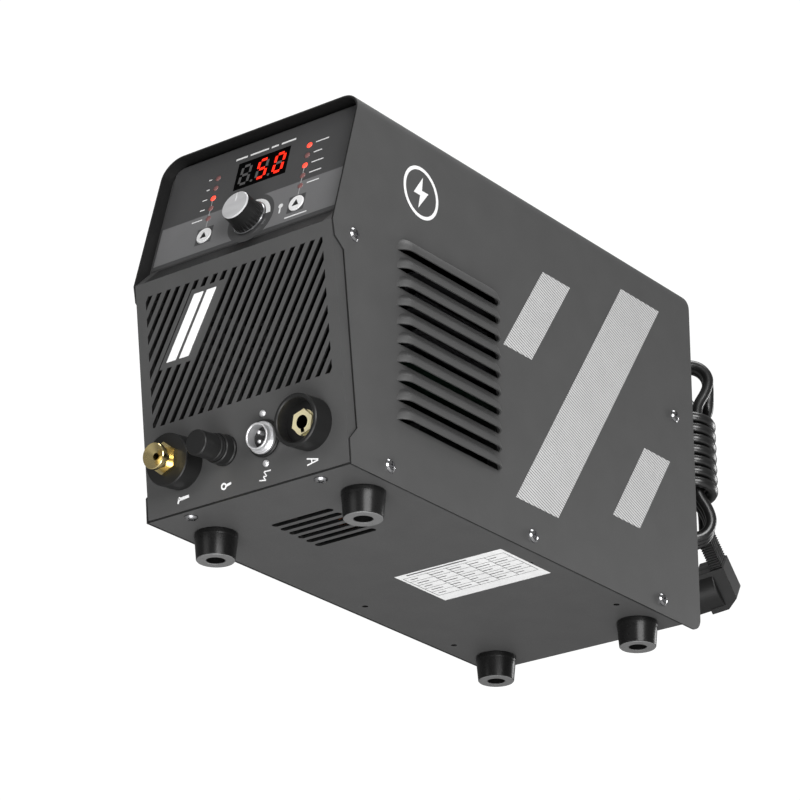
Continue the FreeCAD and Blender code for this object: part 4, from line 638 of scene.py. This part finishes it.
PRINT_HIGH = 0.08
BANDS = (((196.1, 32.9), (245.1, 32.9), (378.6, 235.4), (329.6, 235.4)),
         ((232.0, 212.0), (265.0, 212.0), (217.0, 140.0), (184.0, 140.0)),
         ((311.6, 56.0), (345.0, 56.0), (387.0, 120.0), (354.0, 120.0)))
RING_CENTRE, BOLT = (92.5, 217.3), ((2, 12), (-8, -2), (-1, -2), (-3, -12), (8, 2), (1, 2))
for side, name in ((1, "right"), (-1, "left")):
    turn = Matrix(((0, 0, side, 0), (1, 0, 0, 0), (0, 1, 0, 0), (0, 0, 0, 1)))
    flank = Matrix.Translation(Vector((side * COVER_HALF, FRONT_LINE, BASE_Z))) @ turn
    bands = Shape()
    for band in BANDS:
        bands.prism(band, flank, 0.0, PRINT_HIGH)
    bands.build(f"side_stripes_{name}", STRIPE_PRINT, slot="white_enamel")
    ring = Shape().arc(RING_CENTRE, [(16.5, 19.0), (16.5, 19.0)], (0, 360), flank, 0.0, PRINT_HIGH, 72)
    ring.prism([(RING_CENTRE[0] + x, RING_CENTRE[1] + y) for x, y in BOLT], flank, 0.0, PRINT_HIGH)
    ring.build(f"ring_mark_{name}", PRINT, slot="white_enamel")

# ------------------------------------------------------------- rating label

UNDER = Matrix.Translation(Vector((0, FRONT_LINE, BASE_Z))) @ Matrix.Diagonal((1, 1, -1, 1))
LABEL_TOP, RULE_TOP, RULE_WIDE = 0.10, 0.14, 0.45
RULE_XS = (-16.0, 4.0, 20.0, 36.0, 52.0, 68.0)
RULE_YS = (205.0, 213.0, 221.0, 229.0, 237.0, 245.0)
label = Shape().prism(rectangle(-18.5, 198.2, 70.7, 255.8), UNDER, 0.02, LABEL_TOP)
label.build("rating_label", PRINT, slot="white_enamel")
rules = Shape()
for y in RULE_YS:
    rules.bar((RULE_XS[0], y), (RULE_XS[-1], y), RULE_WIDE, UNDER, LABEL_TOP, RULE_TOP)
for x in RULE_XS:
    rules.bar((x, RULE_YS[0]), (x, RULE_YS[-1]), RULE_WIDE, UNDER, LABEL_TOP, RULE_TOP)
for i in range(len(RULE_XS) - 1):
    for j in range(len(RULE_YS) - 1):
        x, y = -13.0 + 16.4 * i, 209.0 + 8.0 * j
        reach = 6.5 + 1.7 * ((i * 3 + j * 2) % 4)
        rules.bar((x, y), (x + reach, y), 1.0, UNDER, LABEL_TOP, RULE_TOP)
rules.bar((-10.0, 200.9), (40.0, 200.9), 1.5, UNDER, LABEL_TOP, RULE_TOP)
rules.build("rating_label_rules", DARK_PRINT, slot="white_enamel")

# ---------------------------------------------------------- stage and lights

FLOOR_Z, FLOOR_HALF = -1.45, 9
FLOOR = finish("floor", (0.82, 0.82, 0.82), 0.7, coarse=3, grain=60, vary=0.01, bump=0.02)
floor_mesh = bpy.data.meshes.new("floor")
floor_corners = rectangle(-FLOOR_HALF, -FLOOR_HALF, FLOOR_HALF, FLOOR_HALF)
floor_mesh.from_pydata([(x, y, FLOOR_Z) for x, y in floor_corners], [], [(0, 1, 2, 3)])
floor_mesh.materials.append(FLOOR)
floor = bpy.data.objects.new("floor", floor_mesh)
scene.collection.objects.link(floor)

world = bpy.data.worlds.new("studio")
scene.world = world
world.use_nodes = True
air = world.node_tree
air.nodes["Background"].inputs["Color"].default_value = (1, 1, 1, 1)
air.nodes["Background"].inputs["Strength"].default_value = 0.20
bright = air.nodes.new("ShaderNodeBackground")
bright.inputs["Color"].default_value = (1, 1, 1, 1)
bright.inputs["Strength"].default_value = 1.05
rays = air.nodes.new("ShaderNodeLightPath")
choose = air.nodes.new("ShaderNodeMixShader")
air.links.new(rays.outputs["Is Camera Ray"], choose.inputs[0])
air.links.new(air.nodes["Background"].outputs[0], choose.inputs[1])
air.links.new(bright.outputs[0], choose.inputs[2])
air.links.new(choose.outputs[0], air.nodes["World Output"].inputs["Surface"])


def lamp(name, at, towards, size, power):
    data = bpy.data.lights.new(name, "AREA")
    data.shape = "RECTANGLE"
    data.size, data.size_y = size
    data.energy = power
    made = bpy.data.objects.new(name, data)
    made.location = at
    made.rotation_euler = (Vector(towards) - Vector(at)).to_track_quat("-Z", "Y").to_euler()
    scene.collection.objects.link(made)


lamp("side_light", (1.75, -1.15, 0.35), (0, -0.1, 0.15), (1.3, 1.1), 37)
lamp("front_light", (-0.6, -2.3, 0.5), (0, 0, 0.2), (1.2, 1.0), 5)
lamp("low_light", (0.6, -0.9, -1.2), (0, -0.1, 0.05), (1.3, 1.3), 34)
lamp("top_light", (0.2, 0.3, 2.2), (0, 0, 0.2), (1.4, 1.4), 26)
lamp("cord_light", (0.42, 1.9, 0.2), (0.05, 0.27, 0.17), (0.3, 1.0), 9)
